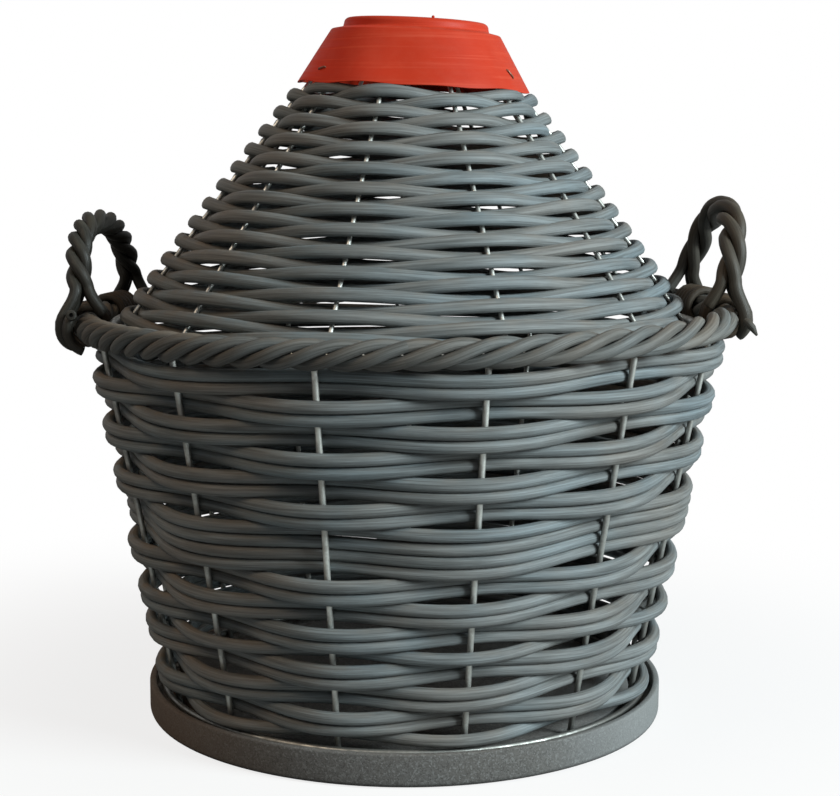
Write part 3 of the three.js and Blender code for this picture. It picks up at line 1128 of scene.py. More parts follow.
@dataclass
class Tub:
    """The tub's stakes, foot hoop and woven pairs."""

    stock: Stock = field(default_factory=Stock)
    tray: BaseTray = field(default_factory=BaseTray)
    stakes: int = 13
    stake_inset: float = 8.3
    lean: float = math.radians(10.95)
    first: float = math.radians(-14.6)
    slack: float = 0.42
    hoop_drop: float = 1.0
    hoop_sink: float = 0.5
    weave_lift: float = 0.85
    first_lift: float = 0.5
    back_lift: float = -2.0
    back_swell: float = 0.24
    upper_start: int = 1
    plump: float = 0.22
    phase: float = 0.08
    foot_band: Pair = (1.0, 3.5)
    low_band: Pair = (4.0, 16.0)
    high_band: Pair = (118.0, 132.0)
    runs: tuple[Run, ...] = (
        Run("lower_a", 4, 110, Side.BEHIND, False, True),
        Run("lower_b", -2, 46, Side.BEHIND, True, True),
        Run("middle_b", 47, 97, Side.FRONT, True),
        Run("upper_a", 111, 199, Side.FRONT, False),
        Run("upper_b", 98, 192, Side.BEHIND, True),
    )

    def __post_init__(self) -> None:
        """Work out the wall and the lay of the weave."""
        self.wall = Wall(self.tray.radius - self.stake_inset, self.tray.lip_height, self.lean)
        self.lay = self.stock.strand + self.slack
        self.reach = self.stock.stake / 2.0 + self.stock.clear + self.stock.strand_r
        self.hoop_z = self.tray.lip_height - self.hoop_drop
        first_z = self.hoop_z + self.stock.hoop_r + self.weave_lift + self.stock.strand_r
        self.first_along = self.wall.along_at_height(first_z)
        self.top_stake = max(run.end for run in self.runs)
        self.top_along = self.along(self.top_stake, False)
        self.pair_wobble = Wobble(21, 9.0, 0.2)

    def azimuth(self, number: float) -> float:
        """Give the azimuth of a stake number."""
        return self.first + math.tau * number / self.stakes

    def along(self, number: float, upper: bool) -> float:
        """Give how far up the wall a strand of the pair lies at a stake number."""
        turns = (number - self.upper_start) / (self.stakes / 2.0) + self.phase
        return self.first_along + self.lay * (turns if upper else turns - 1.0)

    def path(self, run: Run, seed: int) -> Path:
        """Lay out one strand.

        Args:
            run: The strand's ends and phase.
            seed: Picks its unevenness.

        Returns:
            The strand's path.
        """
        lift = Wobble(seed, 3.1, 0.16)
        bow = Wobble(seed + 50, 2.3, 0.2)
        girth = Wobble(seed + 90, 4.0, 0.05)
        points: list[Vector] = []
        radii: list[float] = []
        for number in self.stock.stations(run.start, run.end):
            azimuth = self.azimuth(number)
            offset = run.side.value * self.reach * math.cos(math.pi * number) + bow.at(number)
            up = self.along(number, run.upper) + lift.at(number) + self.pair_wobble.at(number)
            if run.at_foot:
                up += self.first_lift * (1.0 - smoothstep(number - run.start, *self.foot_band))
            inner = between(up, self.low_band, self.high_band)
            back = behind(azimuth)
            up += self.back_lift * inner * back
            points.append(self.wall.point(up, offset, azimuth))
            swell = self.plump + self.back_swell * inner * back
            radii.append(self.stock.strand_r + swell + girth.at(number))
        return Path(points, radii, mark=seed * 37.0).round_ends(self.stock.cut)

    def build(self, palette: Palette) -> None:
        """Make the weave, the stakes and the foot hoop.

        Args:
            palette: The finishes.
        """
        for seed, run in enumerate(self.runs, start=31):
            piece = Bench.strands(f"tub_strand_{run.name}", [self.path(run, seed)])
            Bench.hand_over(
                piece, Body.TUB, Slot.STRAND, palette.strand, [f"tub_weaver_{run.name}"]
            )
        half = self.stock.stake / 2.0
        foot = self.stake_foot()
        for i in range(self.stakes):
            azimuth = self.azimuth(i)
            top = self.wall.along_at_height(self.rim_underside(azimuth))
            name = f"tub_stake_{i + 1:02d}"
            start = self.wall.point(foot, 0.0, azimuth)
            end = self.wall.point(top, 0.0, azimuth)
            piece = Bench.rod(f"{name}_wire", start, end, half)
            Bench.hand_over(piece, Body.TUB, Slot.WIRE, palette.wire, [name])
        along = self.wall.along_at_height(self.hoop_z)
        reach = half + self.stock.clear + self.stock.hoop_r
        radius = self.wall.radius_at(along, 0.0) + reach / math.cos(self.lean)
        z = self.hoop_z - self.hoop_sink
        piece = Bench.hoop("foot_hoop_wire", radius, z, self.stock.hoop_r)
        Bench.hand_over(piece, Body.TUB, Slot.WIRE, palette.wire, ["foot_hoop"])

    def stake_foot(self) -> float:
        """Give how far along the wall the stakes begin."""
        lowest = self.wall.along_at_height(self.tray.floor + self.stock.clear)
        return lowest + self.stock.stake / 2.0 * math.tan(self.lean)

    def seat_radius(self) -> float:
        """Give the radius of the tray's seat, just inside the stakes."""
        inside = self.wall.radius_at(self.stake_foot(), -self.stock.stake / 2.0)
        return inside - 2.0 * self.stock.clear

    def rim_underside(self, azimuth: float) -> float:
        """Give the height of the rope's underside at an azimuth."""
        rope = RimRope(self)
        return rope.height(azimuth) - rope.radius


@dataclass
class RimRope:
    """The rope border, laid on the tub's last turn and climbing with it."""

    tub: Tub
    radius: float = 5.1
    strands: int = 4
    twists: int = 15
    slackening: float = 4.2
    rise: float = 1.9
    strand_r: float = 2.0
    looseness: float = 0.05
    fine: int = 24

    def __post_init__(self) -> None:
        """Work out the rope's middle line."""
        tub = self.tub
        self.centre_r = tub.wall.radius_at(tub.top_along, tub.reach)
        top = tub.wall.height_at(tub.top_along, 0.0) + tub.lay / 2.0
        climb = self.rise * math.sin(tub.azimuth(tub.top_stake))
        self.z = top + tub.stock.clear + self.radius - climb

    def height(self, azimuth: float) -> float:
        """Give the height of the rope's middle at an azimuth."""
        return self.z + self.rise * math.sin(azimuth)

    def middle(self, azimuth: float) -> Vector:
        """Give the rope's middle at an azimuth."""
        return polar(self.centre_r, self.height(azimuth), azimuth)

    def path(self, number: int) -> Path:
        """Lay out one strand of the rope.

        Args:
            number: Which strand, from 0.

        Returns:
            The strand's closed path.
        """
        steps = self.fine * self.twists
        helix = self.radius - self.strand_r + self.looseness
        loose = Wobble(61 + number, 1.0, 0.16)
        points: list[Vector] = []
        radii: list[float] = []
        for i in range(steps):
            azimuth = math.tau * i / steps
            ease = math.sin(azimuth / 2.0) ** 2
            angle = math.tau * number / self.strands + self.twists * azimuth
            angle += self.slackening * math.cos(azimuth) + 0.5 * loose.at(azimuth) * ease
            reach = helix + loose.at(azimuth * 1.7) * ease
            out = reach * math.cos(angle)
            up = reach * math.sin(angle)
            points.append(polar(self.centre_r + out, self.height(azimuth) + up, azimuth))
            radii.append(self.strand_r + 0.3 * loose.at(azimuth * 3.1) * ease)
        return Path(points, radii, closed=True, mark=400.0 + 31.0 * number)

    def build(self, palette: Palette) -> None:
        """Make the rope as one piece of laid strands.

        Args:
            palette: The finishes.
        """
        paths = [self.path(number) for number in range(self.strands)]
        piece = Bench.strands("rim_rope_laid", paths)
        Bench.hand_over(piece, Body.TUB, Slot.STRAND, palette.rope, ["rim_rope"])


class SpareEnd(Enum):
    """The spare strand end that shows at a handle's front foot."""

    WRAPPED = "cut above the rope and led under it"
    LOOSE = "bent out and trimmed to a point"


# The loose end's way out from the foot, up from the rope's middle, and its radius.
LOOSE_END = ((-0.4, 1.0, 0.9), (0.6, 0.2, 1.5), (2.6, -1.8, 1.3), (4.2, -4.4, 0.4))
# How far the wrapped end's tip stands out from where it meets the rope.
WRAPPED_TIP = (0.4, -3.4, 0.8)


@dataclass(frozen=True)
class GripPlace:
    """A strand's place in the grip and at its feet."""

    letter: str
    angle: float
    outside: bool
    spread: float


GRIP_PLACES = (
    GripPlace("a", math.pi / 3.0, True, 1.0),
    GripPlace("b", math.pi, False, 0.0),
    GripPlace("c", -math.pi / 3.0, True, -1.0),
)


@dataclass
class Handle:
    """A grip of three twisted strands that arches over the rope.

    Attributes:
        rope: The rope border.
        word: "left" or "right".
        hand: -1 on the left and 1 on the right.
        feet: Azimuths of the front and back feet, in degrees from the front.
        leans: Outward lean over the front and back feet, in degrees.
        twists: Turns of the grip.
        body: The body that the handle is.
        height: Rise of the grip's middle line over the rope's.
        strand_r: Radius of a strand.
        spare: The spare end at the front foot.
        stand_off: How far the foremost strand stands off from the rope at the front foot.
        wrap: How far the strands go round under the rope, in degrees.
    """

    rope: RimRope
    word: str
    hand: int
    feet: Pair
    leans: Pair
    twists: int
    body: Body
    height: float
    strand_r: float
    spare: SpareEnd
    stand_off: float
    wrap: float
    fullness: float = 2.4
    grip_gap: float = 0.1
    part_height: float = 14.0
    inner_tail: float = 4.6
    foot_gap: float = 0.45
    spare_gap: float = 0.8
    trim: float = 0.4
    foot_spread: float = 2.2
    bore: float = 0.8
    probe: float = 0.002
    steps: int = 84
    tail_steps: int = 8
    spare_lead: float = 2.7
    spare_share: float = 0.9
    spare_top: float = 38.0
    spare_step: float = 10.0
    spare_points: int = 12
    coils: int = 5
    coil_r: float = 1.5
    coil_pitch: float = 1.6
    coil_lead: float = 4.2
    coil_steps: int = 16

    def __post_init__(self) -> None:
        """Work out how far a strand's middle lies from the rope's."""
        self.stand = self.rope.radius + self.foot_gap + self.strand_r

    def arch_share(self, height: float) -> float:
        """Give how far round the arch a height above the rope lies."""
        return math.asin((height / self.height) ** (self.fullness / 2.0)) / math.pi

    def arch(self, share: float) -> tuple[Vector, float, float, Vector]:
        """Give a point of the grip's middle line.

        Args:
            share: How far round the arch, from 0 at the front foot to 1.

        Returns:
            The point, the place from -1 to 1 between the feet, the height above
            the rope, and the level direction outwards.
        """
        turn = math.cos(math.pi * share)
        power = 2.0 / self.fullness
        along = -math.copysign(abs(turn) ** power, turn)
        rise = self.height * max(math.sin(math.pi * share), 0.0) ** power
        front, back = (self.rope.middle(self.hand * math.radians(foot)) for foot in self.feet)
        chord = (back - front).to_2d().normalized()
        across = Vector((self.hand * chord.y, -self.hand * chord.x, 0.0))
        part = (1.0 + along) / 2.0
        lean = math.radians(self.leans[0] + (self.leans[1] - self.leans[0]) * part)
        point = front.lerp(back, part) + across * (rise * math.tan(lean))
        return point + Vector((0.0, 0.0, rise)), along, rise, across

    def strand_point(self, place: GripPlace, share: float) -> Vector:
        """Give a point of one strand's middle line.

        Args:
            place: Which strand.
            share: How far round the arch.

        Returns:
            The point in millimetres.
        """
        point, along, rise, across = self.arch(share)
        ahead = self.arch(min(share + self.probe, 1.0))[0]
        tangent = (ahead - self.arch(max(share - self.probe, 0.0))[0]).normalized()
        out = (across - tangent * across.dot(tangent)).normalized()
        side = out.cross(tangent) * self.hand
        part = self.arch_share(self.part_height)
        turned = min(max((share - part) / (1.0 - 2.0 * part), 0.0), 1.0)
        angle = place.angle + self.hand * math.tau * self.twists * turned
        reach = 2.0 * self.strand_r / math.sqrt(3.0) + self.grip_gap
        grip = out * (reach * math.cos(angle)) + side * (reach * math.sin(angle))
        front, back = (self.hand * math.radians(foot) for foot in self.feet)
        azimuth = front + (back - front) * (1.0 + along) / 2.0
        off = self.stand_off if place.spread > 0.0 and along < 0.0 else 0.0
        foot = polar(self.stand + off if place.outside else -self.stand, 0.0, azimuth)
        spread = self.hand * along * place.spread * self.foot_spread
        foot += polar(spread, 0.0, azimuth + math.pi / 2)
        return point + foot.lerp(grip, smoothstep(rise, 0.0, self.part_height))

    def tail(self, foot: Vector) -> list[Vector]:
        """Lay out a strand's end under the rope, from its foot outside it.

        Args:
            foot: The strand's middle level with the rope's middle.

        Returns:
            Points that follow the foot.
        """
        azimuth = math.atan2(foot.x, -foot.y)
        middle = self.rope.middle(azimuth)
        start = math.hypot(foot.x, foot.y) - self.rope.centre_r
        points: list[Vector] = []
        for i in range(1, self.tail_steps + 1):
            share = i / self.tail_steps
            turn = math.radians(self.wrap) * share
            reach = start + (self.stand - start) * share * share
            points.append(middle + polar(reach * math.cos(turn), -reach * math.sin(turn), azimuth))
        return points

    def spare_path(self) -> Path:
        """Lay out the spare end at the front foot.

        Returns:
            The end's path, cut round on the left and trimmed to a point on the right.
        """
        azimuth = self.hand * math.radians(self.feet[0] - self.spare_lead)
        middle = self.rope.middle(azimuth)
        if self.spare is SpareEnd.LOOSE:
            line = [middle + polar(self.stand + out, up, azimuth) for out, up, _ in LOOSE_END]
            return Path(line, [radius for _, _, radius in LOOSE_END], mark=780.0)
        girth = self.spare_share * self.strand_r
        reach = self.rope.radius + self.spare_gap + girth
        line: list[Vector] = []
        for i in range(self.spare_points):
            turn = math.radians(self.spare_top - self.spare_step * i)
            line.append(middle + polar(reach * math.cos(turn), reach * math.sin(turn), azimuth))
        line.insert(0, line[0] + Vector(WRAPPED_TIP))
        return Path(line, [girth] * len(line), mark=790.0).round_ends(0.3)

    def path(self, place: GripPlace, seed: int) -> Path:
        """Lay out one strand from foot to foot.

        Args:
            place: Which strand.
            seed: Picks its unevenness.

        Returns:
            The strand's path.
        """
        start = 0.0 if place.outside else self.arch_share(self.inner_tail)
        points = [
            self.strand_point(place, start + (1.0 - 2.0 * start) * i / self.steps)
            for i in range(self.steps + 1)
        ]
        tail = 0
        if place.outside:
            front, rear = self.tail(points[0]), self.tail(points[-1])
            tail = len(front)
            points = front[::-1] + points + rear
        girth = Wobble(seed, 0.35, 0.06)
        radii = [self.strand_r + girth.at(i / self.steps) for i in range(len(points))]
        for i in range(tail):
            trim = 1.0 - self.trim * (1.0 - i / tail) ** 2
            radii[i] *= trim
            radii[-1 - i] *= trim
        return Path(points, radii, mark=700.0 + 29.0 * seed).round_ends(0.5)

    def build(self, palette: Palette) -> None:
        """Make the handle's strands, its spare end and the bindings at its feet.

        Args:
            palette: The finishes.
        """
        look = palette.worn_grip if self.spare is SpareEnd.LOOSE else palette.grip
        for seed, place in enumerate(GRIP_PLACES, start=80 + 5 * self.hand):
            name = f"{self.word}_handle_strand_{place.letter}"
            piece = Bench.strands(f"{name}_laid", [self.path(place, seed)], bore=self.bore)
            Bench.hand_over(piece, self.body, Slot.HANDLE, look, [name])
        spare = Bench.strands(
            f"{self.word}_handle_spare_end", [self.spare_path()], bore=self.bore
        )
        Bench.hand_over(spare, self.body, Slot.HANDLE, look)
        coils = Bench.strands(f"{self.word}_handle_binding", [self.coil(0), self.coil(1)])
        Bench.hand_over(coils, Body.TUB, Slot.HANDLE, palette.binding)

    def coil(self, end: int) -> Path:
        """Lay out the coil that is wound round the rope beside a foot.

        Args:
            end: 0 for the front foot and 1 for the back foot.

        Returns:
            The coil's path.
        """
        towards = 1.0 - 2.0 * end
        reach = self.rope.radius + self.coil_r
        points: list[Vector] = []
        for i in range(self.coil_steps * self.coils + 1):
            turns = i / self.coil_steps
            degrees = self.feet[end] + towards * (self.coil_lead + self.coil_pitch * turns)
            azimuth = self.hand * math.radians(degrees)
            turn = math.tau * turns
            out, up = reach * math.cos(turn), reach * math.sin(turn)
            points.append(self.rope.middle(azimuth) + polar(out, up, azimuth))
        radii = [self.coil_r] * len(points)
        return Path(points, radii, mark=820.0 + 23.0 * end).round_ends(0.5)


@dataclass
class Hat:
    """The lift-off woven cone, with its hoops and stakes."""

    tub: Tub
    stakes: int = 11
    half_angle: float = math.radians(37.4)
    first: float = math.radians(-14.2)
    slack: float = 0.2
    turns: float = 24.7
    top_bare: float = 21.4
    start: int = -7
    plump: float = 0.26
    squeeze: float = 0.36
    flatness: float = 0.4
    back_swell: float = 0.5
    sway: float = 0.0135
    belly: float = 1.0
    skew: float = 3.5
    skew_turn: float = 0.1
    stake_gap: float = 0.08
    stake_steps: int = 24
    least_flat: float = 0.3
    low_band: Pair = (4.0, 16.0)
    high_band: Pair = (78.0, 94.0)
    tucked: int = 10
    tuck_from: float = 0.4
    tuck_to: float = 0.9
    tuck_drop: float = 1.5
    tuck_in: float = 0.3
    tuck_thin: float = 0.35

    def __post_init__(self) -> None:
        """Work out the cone from the seat on the tub's last strand."""
        tub, stock = self.tub, self.tub.stock
        foot_wire = stock.hat_hoop / 2.0
        seat = (tub.lay - stock.clear) / 2.0 / math.sqrt(2.0) + stock.clear + foot_wire
        self.hoop_radius = tub.wall.radius_at(tub.top_along, -tub.reach) - seat / math.sqrt(2.0)
        self.hoop_z = tub.wall.height_at(tub.top_along, -tub.reach) + seat / math.sqrt(2.0)
        hoop_reach = stock.hat_stake / 2.0 + stock.clear + foot_wire
        self.wall = Wall(
            self.hoop_radius - hoop_reach * math.cos(self.half_angle),
            self.hoop_z - hoop_reach * math.sin(self.half_angle),
            -self.half_angle,
        )
        pressed = (stock.strand_r + self.plump + self.squeeze) * (1.0 - self.flatness)
        self.reach = stock.hat_stake / 2.0 + self.stake_gap + pressed
        self.lay = stock.strand + self.slack
        self.first_along = foot_wire + stock.clear + stock.strand_r
        passes = 2 * round(self.stakes * self.turns / 2)
        self.end = self.start + passes
        third = 2 * round(passes / 6)
        self.joins = (self.start + third, self.start + 2 * third)
        top = self.along(self.end) + stock.strand_r + self.top_bare
        self.stake_top = top
        top_reach = stock.hat_stake / 2.0 + stock.clear + stock.hoop_r
        self.top_radius = self.wall.radius_at(top - stock.hoop_r, top_reach)
        self.top_z = self.wall.height_at(top - stock.hoop_r, top_reach)

    def azimuth(self, number: float) -> float:
        """Give the azimuth of a stake number."""
        return self.first + math.tau * number / self.stakes

    def along(self, number: float) -> float:
        """Give how far up the cone the strand lies at a stake number."""
        return self.first_along + self.lay * (number - self.start) / self.stakes

    def place(self, along: float, offset: float, azimuth: float) -> Vector:
        """Give a point of the hat as it was woven, a little full and off the upright.

        Args:
            along: Distance up the cone.
            offset: Distance out, square to the cone.
            azimuth: Azimuth at the cone's foot.

        Returns:
            The point in millimetres.
        """
        share = along / self.stake_top
        full = offset + 4.0 * self.belly * share * (1.0 - share)
        turn = self.skew * share / self.wall.radius_at(along, 0.0)
        turn *= math.sin(azimuth + self.skew_turn)
        point = self.wall.point(along, full, azimuth + turn)
        point.x += self.sway_at(point.z)
        return point

    def sway_at(self, z: float) -> float:
        """Give how far the hat leans over at a height."""
        return self.sway * (z - self.wall.z)

    def path(self, start: int, end: float, seed: int) -> Path:
        """Lay out a length of the hat's strand.

        Args:
            start: First stake number.
            end: Last stake number.
            seed: Picks its unevenness.

        Returns:
            The strand's path.
        """
        lift = Wobble(seed, 4.3, 0.14)
        bow = Wobble(seed + 40, 2.7, 0.12)
        girth = Wobble(seed + 80, 3.6, 0.05)
        points: list[Vector] = []
        radii: list[float] = []
        press: list[Vector] = []
        facing = math.cos(self.half_angle), math.sin(self.half_angle)
        for number in self.tub.stock.stations(start, end):
            azimuth = self.azimuth(number)
            tucked = smoothstep(number, self.end - self.tuck_from, self.end + self.tuck_to)
            reach = self.reach - self.tuck_in * tucked
            offset = reach * math.cos(math.pi * number) + bow.at(number)
            up = self.along(number) + lift.at(number) - self.tuck_drop * tucked
            points.append(self.place(up, offset, azimuth))
            at_stake = math.cos(math.pi * number) ** 2
            full = self.tub.stock.strand_r + self.plump + self.squeeze * at_stake
            inner = between(up, self.low_band, self.high_band)
            swell = self.back_swell * inner * behind(azimuth)
            radii.append(full + swell - self.tuck_thin * tucked + girth.at(number))
            flat = self.least_flat + (1.0 - self.least_flat) * at_stake
            thin = (1.0 - self.flatness * flat) * full / (full + swell)
            press.append(polar(*facing, azimuth) * math.sqrt(1.0 - thin))
        path = Path(points, radii, mark=900.0 + 41.0 * seed, press=press)
        return path.round_ends(self.tub.stock.cut)

    def build(self, palette: Palette) -> None:
        """Make the weave, stakes and hoops.

        Args:
            palette: The finishes.
        """
        stock = self.tub.stock
        low, high = self.joins
        spans = (
            ("lower", self.start, low - 1),
            ("middle", low, high - 1),
            ("upper", high, self.end + self.tucked),
        )
        for seed, (word, start, end) in enumerate(spans, start=120):
            piece = Bench.strands(f"hat_strand_{word}", [self.path(start, end, seed)])
            Bench.hand_over(
                piece, Body.HAT, Slot.STRAND, palette.strand, [f"hat_weaver_{word}"]
            )
        half = stock.hat_stake / 2.0
        for i in range(self.stakes):
            name = f"hat_stake_{i + 1:02d}"
            line: list[Vector] = []
            for j in range(self.stake_steps + 1):
                up = -stock.hat_hoop / 2.0 + self.stake_top * j / self.stake_steps
                line.append(self.place(up, 0.0, self.azimuth(i)))
            wire = Path(line, [half] * len(line), mark=1300.0 + 17.0 * i).round_ends(0.3)
            piece = Bench.strands(f"{name}_wire", [wire])
            Bench.hand_over(piece, Body.HAT, Slot.WIRE, palette.wire, [name])
        for name, radius, z, wire in (
            ("hat_foot_hoop", self.hoop_radius, self.hoop_z, stock.hat_hoop / 2.0),
            ("hat_top_hoop", self.top_radius, self.top_z, stock.hoop_r),
        ):
            piece = Bench.hoop(f"{name}_wire", radius, z, wire, self.sway_at(z))
            Bench.hand_over(piece, Body.HAT, Slot.WIRE, palette.wire, [name])


@dataclass(frozen=True)
class Staple:
    """Where a staple sits in the collar's skirt.

    Attributes:
        azimuth: Where round the skirt, in degrees.
        share: From 0 at the skirt's foot to 1 at the shoulder.
        turn: Slant of the crown in radians.
    """

    azimuth: float
    share: float
    turn: float


STAPLES = (
    Staple(-55.0, 0.24, 0.25),
    Staple(60.0, 0.3, -0.9),
    Staple(148.0, 0.3, 0.1),
    Staple(-138.0, 0.28, -0.08),
)
# A staple's bends: how far across from its middle, and out from the skirt.
STAPLE_BENDS = ((-1.8, -1.3), (-1.7, 0.1), (-1.3, 0.4), (1.3, 0.4), (1.7, 0.1), (1.8, -1.3))


@dataclass
class Collar:
    """The moulded neck collar, stapled over the hat's top."""

    hat: Hat
    wall: float = 1.2
    skirt_height: float = 19.5
    skirt_flare: float = 11.7
    step_width: float = 4.4
    step_height: float = 0.9
    neck_height: float = 3.3
    neck_ease: float = 1.9
    lip_width: float = 3.8
    hoop_room: float = 1.1
    shift: float = 1.5
    lean: float = math.radians(2.4)
    rings: int = 6
    steps: int = 128
    ease: float = 0.45
    wave_from: float = 6.0
    step_lean: float = 0.3
    wire: float = 0.32
    nub: float = 0.55
    nub_lift: float = 0.25
    nub_azimuth: float = math.radians(13.5)

    def __post_init__(self) -> None:
        """Work out the collar from the hoop that it sits on."""
        stock = self.hat.tub.stock
        self.shoulder = self.hat.top_radius + stock.hoop_r + self.hoop_room
        self.skirt = self.shoulder + self.skirt_flare
        self.neck = self.shoulder - self.step_width
        lift = self.hat.top_radius * math.sin(self.lean)
        self.z = self.hat.top_z + stock.hoop_r + stock.clear + lift
        aside = self.shift + self.hat.sway_at(self.z)
        self.turn = Matrix.Translation((aside * MM, 0.0, self.z * MM))
        self.turn @= Matrix.Rotation(self.lean, 4, "Y")
        self.top = self.wall + self.step_height + self.neck_height

    def skirt_radius(self, share: float) -> float:
        """Give the radius of the skirt's outside, from its foot at 0 to the shoulder at 1."""
        return self.skirt + (self.shoulder - self.skirt) * share

    def skin(self, share: float, azimuth: float, proud: float) -> Vector:
        """Give a point on the skirt's outside, in the collar's own place.

        Args:
            share: From 0 at the skirt's foot to 1 at the shoulder.
            azimuth: Where round the skirt.
            proud: Distance out from the surface.

        Returns:
            The point in millimetres.
        """
        radius = self.skirt_radius(share)
        z = self.wall - self.skirt_height * (1.0 - share)
        slope = math.atan2(self.skirt_flare, self.skirt_height)
        return polar(radius + proud * math.cos(slope), z + proud * math.sin(slope), azimuth)

    def shell(self) -> Piece:
        """Turn the collar and let its foot wave over the strands.

        Returns:
            The new object.
        """
        slant = math.hypot(self.skirt_flare, self.skirt_height)
        thick = self.wall * slant / self.skirt_height
        foot = self.wall - self.skirt_height
        step = self.wall + self.step_height
        outer: list[Pair] = []
        inner: list[Pair] = []
        eased: list[Pair] = []
        for i in range(self.rings + 1):
            share = i / self.rings
            turn = math.pi / 2.0 * share
            in_by, down_by = 1.0 - math.cos(turn), 1.0 - math.sin(turn)
            outer.append((self.skirt_radius(share), foot + (self.wall - foot) * share))
            inner.append((self.shoulder - thick + self.skirt_flare * share, foot * share))
            eased.append((self.neck - self.neck_ease * in_by, self.top - self.neck_ease * down_by))
        bore = self.neck - self.lip_width
        profile = outer + [(self.neck + self.step_lean, step), *eased]
        profile += [(bore, self.top), (bore, 0.0), *inner, outer[0]]
        form = Bench.turned(profile, self.steps)
        Bench.soften(form, self.ease, corner=0.5)
        wave = Wobble(140, 0.9, 0.55)
        for corner in form.verts:
            depth = smoothstep(self.wall - corner.co.z / MM, self.wave_from, self.skirt_height)
            azimuth = math.atan2(corner.co.x, -corner.co.y)
            corner.co.z += depth * wave.at(azimuth) * MM
        bmesh.ops.transform(form, matrix=self.turn, verts=form.verts)
        return Bench.finish("collar_shell", form, crease=0.7)

    def staple(self, staple: Staple) -> Path:
        """Lay out a staple's crown and the bends into the skirt.

        Args:
            staple: Where it sits.

        Returns:
            The staple's path.
        """
        points: list[Vector] = []
        radius = self.skirt_radius(staple.share)
        for across, proud in STAPLE_BENDS:
            share = staple.share + across * math.sin(staple.turn) / self.skirt_height
            azimuth = math.radians(staple.azimuth) + across * math.cos(staple.turn) / radius
            points.append((self.turn @ (self.skin(share, azimuth, proud) * MM)) / MM)
        return Path(points, [self.wire] * len(points))

    def build(self, palette: Palette) -> None:
        """Make the shell, its staples and the gate nub.

        Args:
            palette: The finishes.
        """
        shell = self.shell()
        Bench.hand_over(shell, Body.HAT, Slot.COLLAR, palette.collar, ["collar"])
        paths = [self.staple(staple) for staple in STAPLES]
        piece = Bench.strands("collar_staples", paths, sides=8)
        Bench.hand_over(piece, Body.HAT, Slot.WIRE, palette.staple)
        form = bmesh.new()
        radius = self.neck - self.lip_width / 2.0
        spot = polar(radius, self.top + self.nub_lift, self.nub_azimuth) * MM
        bmesh.ops.create_uvsphere(
            form,
            u_segments=14,
            v_segments=8,
            radius=self.nub * MM,
            matrix=self.turn @ Matrix.Translation(spot),
        )
        nub = Bench.finish("collar_nub", form, crease=1.0)
        Bench.hand_over(nub, Body.HAT, Slot.COLLAR, palette.collar)


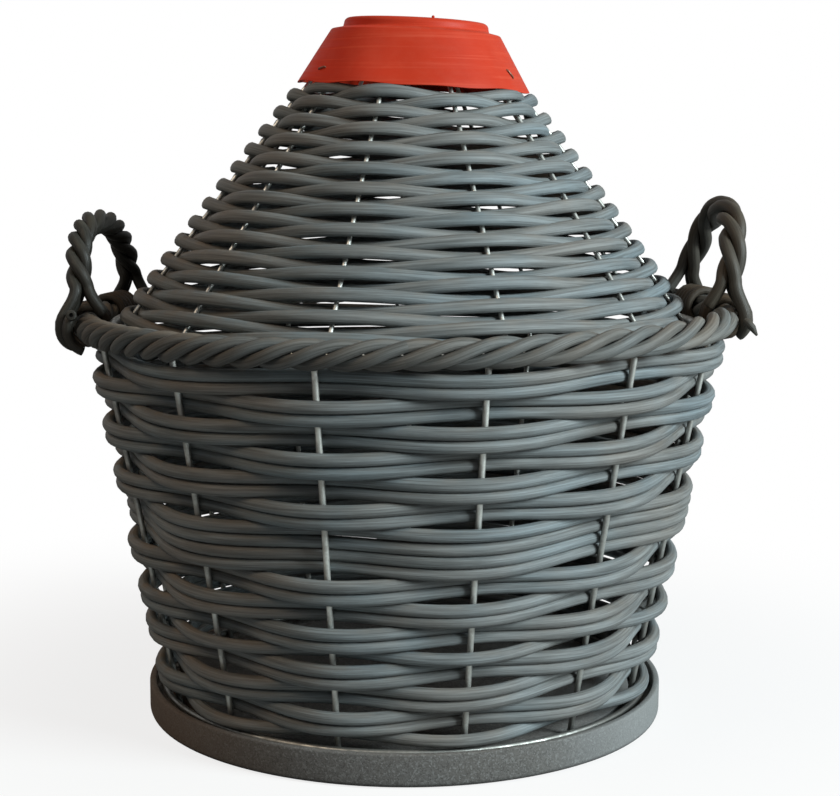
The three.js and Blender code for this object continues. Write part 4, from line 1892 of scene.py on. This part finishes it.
@dataclass
class Studio:
    """Camera, lamps, backdrop and floor."""

    focal_px: float = 1771.0
    width_px: float = 840.0
    distance: float = 650.0
    height: float = 212.0
    yaw: float = 0.008
    pitch: float = 0.148
    roll: float = 0.006

    def camera(self) -> None:
        """Set the camera where the photograph was taken from."""
        data = bpy.data.cameras.new("camera")
        data.sensor_width = 36.0
        data.lens = self.focal_px * data.sensor_width / self.width_px
        data.clip_start, data.clip_end = 0.01, 20.0
        forward = Vector(
            (
                math.sin(self.yaw) * math.cos(self.pitch),
                math.cos(self.yaw) * math.cos(self.pitch),
                -math.sin(self.pitch),
            )
        )
        right = Vector((math.cos(self.yaw), -math.sin(self.yaw), 0.0))
        up = right.cross(forward)
        level = right * math.cos(self.roll) + up * math.sin(self.roll)
        upright = up * math.cos(self.roll) - right * math.sin(self.roll)
        turn = Matrix((level, upright, -forward)).transposed().to_4x4()
        camera = bpy.data.objects.new("camera", data)
        place = Matrix.Translation((0.0, -self.distance * MM, self.height * MM))
        camera.matrix_world = place @ turn
        bpy.context.scene.collection.objects.link(camera)
        bpy.context.scene.camera = camera

    @staticmethod
    def lamp(
        name: str, place: tuple[float, float, float], size: float, watts: float, tint: Colour
    ) -> None:
        """Hang a soft lamp that looks at the middle of the basket.

        Args:
            name: The lamp's name.
            place: Where it hangs, in metres.
            size: Width in metres.
            watts: Power.
            tint: Colour of the light.
        """
        data = bpy.data.lights.new(name, "AREA")
        data.shape = "DISK"
        data.size = size
        data.energy = watts
        data.color = tint
        lamp = bpy.data.objects.new(name, data)
        lamp.location = place
        aim = Vector((0.0, 0.0, 0.12)) - lamp.location
        lamp.rotation_euler = aim.to_track_quat("-Z", "Y").to_euler()
        bpy.context.scene.collection.objects.link(lamp)

    @staticmethod
    def backdrop() -> None:
        """Make the world: white to look at, dimmer as a light."""
        world = bpy.data.worlds.new("backdrop")
        bpy.context.scene.world = world
        world.use_nodes = True
        graph = Graph(world.node_tree)
        world.node_tree.nodes.clear()
        rays = graph.add("ShaderNodeLightPath")
        seen = graph.math(
            "MAXIMUM", rays.outputs["Is Camera Ray"], rays.outputs["Is Transmission Ray"]
        )
        mirrored = graph.times(rays.outputs["Is Glossy Ray"], 0.4)
        level = graph.math("MAXIMUM", graph.math("MAXIMUM", seen, mirrored), 0.06)
        white = graph.add("ShaderNodeBackground", None, {0: WHITE, 1: level})
        out = graph.add("ShaderNodeOutputWorld")
        graph.feed(out.inputs[0], white.outputs[0])

    @staticmethod
    def floor() -> None:
        """Lay a plain white floor that keeps a soft shadow."""
        form = bmesh.new()
        bmesh.ops.create_grid(
            form,
            x_segments=1,
            y_segments=1,
            size=6.0,
            matrix=Matrix.Translation((0.0, 0.0, -0.0002)),
        )
        floor = Bench.finish("floor", form, crease=1.0)
        finish = Finish("floor white")
        finish.feed("Roughness", 0.9)
        graph = finish.graph
        camera = graph.add("ShaderNodeLightPath").outputs["Is Camera Ray"]
        finish.feed("Base Color", graph.mix(camera, (0.3, 0.3, 0.3), (0.86, 0.86, 0.86)))
        reach = graph.add("ShaderNodeVectorMath", {"operation": "LENGTH"}, {0: graph.place()})
        plain = graph.span(reach.outputs["Value"], 0.1, 0.34, 0.8)
        white = graph.add("ShaderNodeEmission", None, {0: WHITE, 1: 1.0})
        inputs = {
            0: graph.times(camera, plain),
            1: finish.shader.outputs[0],
            2: white.outputs[0],
        }
        both = graph.add("ShaderNodeMixShader", None, inputs)
        graph.feed(graph.tree.nodes["Material Output"].inputs[0], both.outputs[0])
        floor.data.materials.append(finish.material)

    def build(self) -> None:
        """Set up everything that isn't the basket."""
        self.camera()
        self.lamp("key", (1.65, -0.88, 0.95), 0.9, 68.0, (0.84, 0.97, 1.0))
        self.lamp("fill", (-1.0, -0.7, 1.5), 1.0, 8.0, (1.0, 0.78, 0.56))
        self.backdrop()
        self.floor()
        bpy.context.scene.view_settings.view_transform = "Standard"


def main() -> None:
    """Build the basket, piece by piece, and its studio."""
    logging.basicConfig(level=logging.INFO, format="%(message)s")
    Studio().build()
    palette = Palette()
    tub = Tub()
    tub.tray.build(palette, tub.seat_radius())
    tub.build(palette)
    rope = RimRope(tub)
    rope.build(palette)
    Handle(
        rope,
        "left",
        hand=-1,
        feet=(76.0, 112.0),
        leans=(12.0, 4.0),
        twists=3,
        body=Body.LEFT_HANDLE,
        height=35.5,
        strand_r=2.12,
        spare=SpareEnd.WRAPPED,
        stand_off=2.0,
        wrap=62.0,
    ).build(palette)
    Handle(
        rope,
        "right",
        hand=1,
        feet=(77.0, 112.0),
        leans=(8.5, 14.0),
        twists=2,
        body=Body.RIGHT_HANDLE,
        height=37.8,
        strand_r=2.3,
        spare=SpareEnd.LOOSE,
        stand_off=-0.2,
        wrap=48.0,
    ).build(palette)
    hat = Hat(tub)
    hat.build(palette)
    Collar(hat).build(palette)


if __name__ == "__main__":
    main()
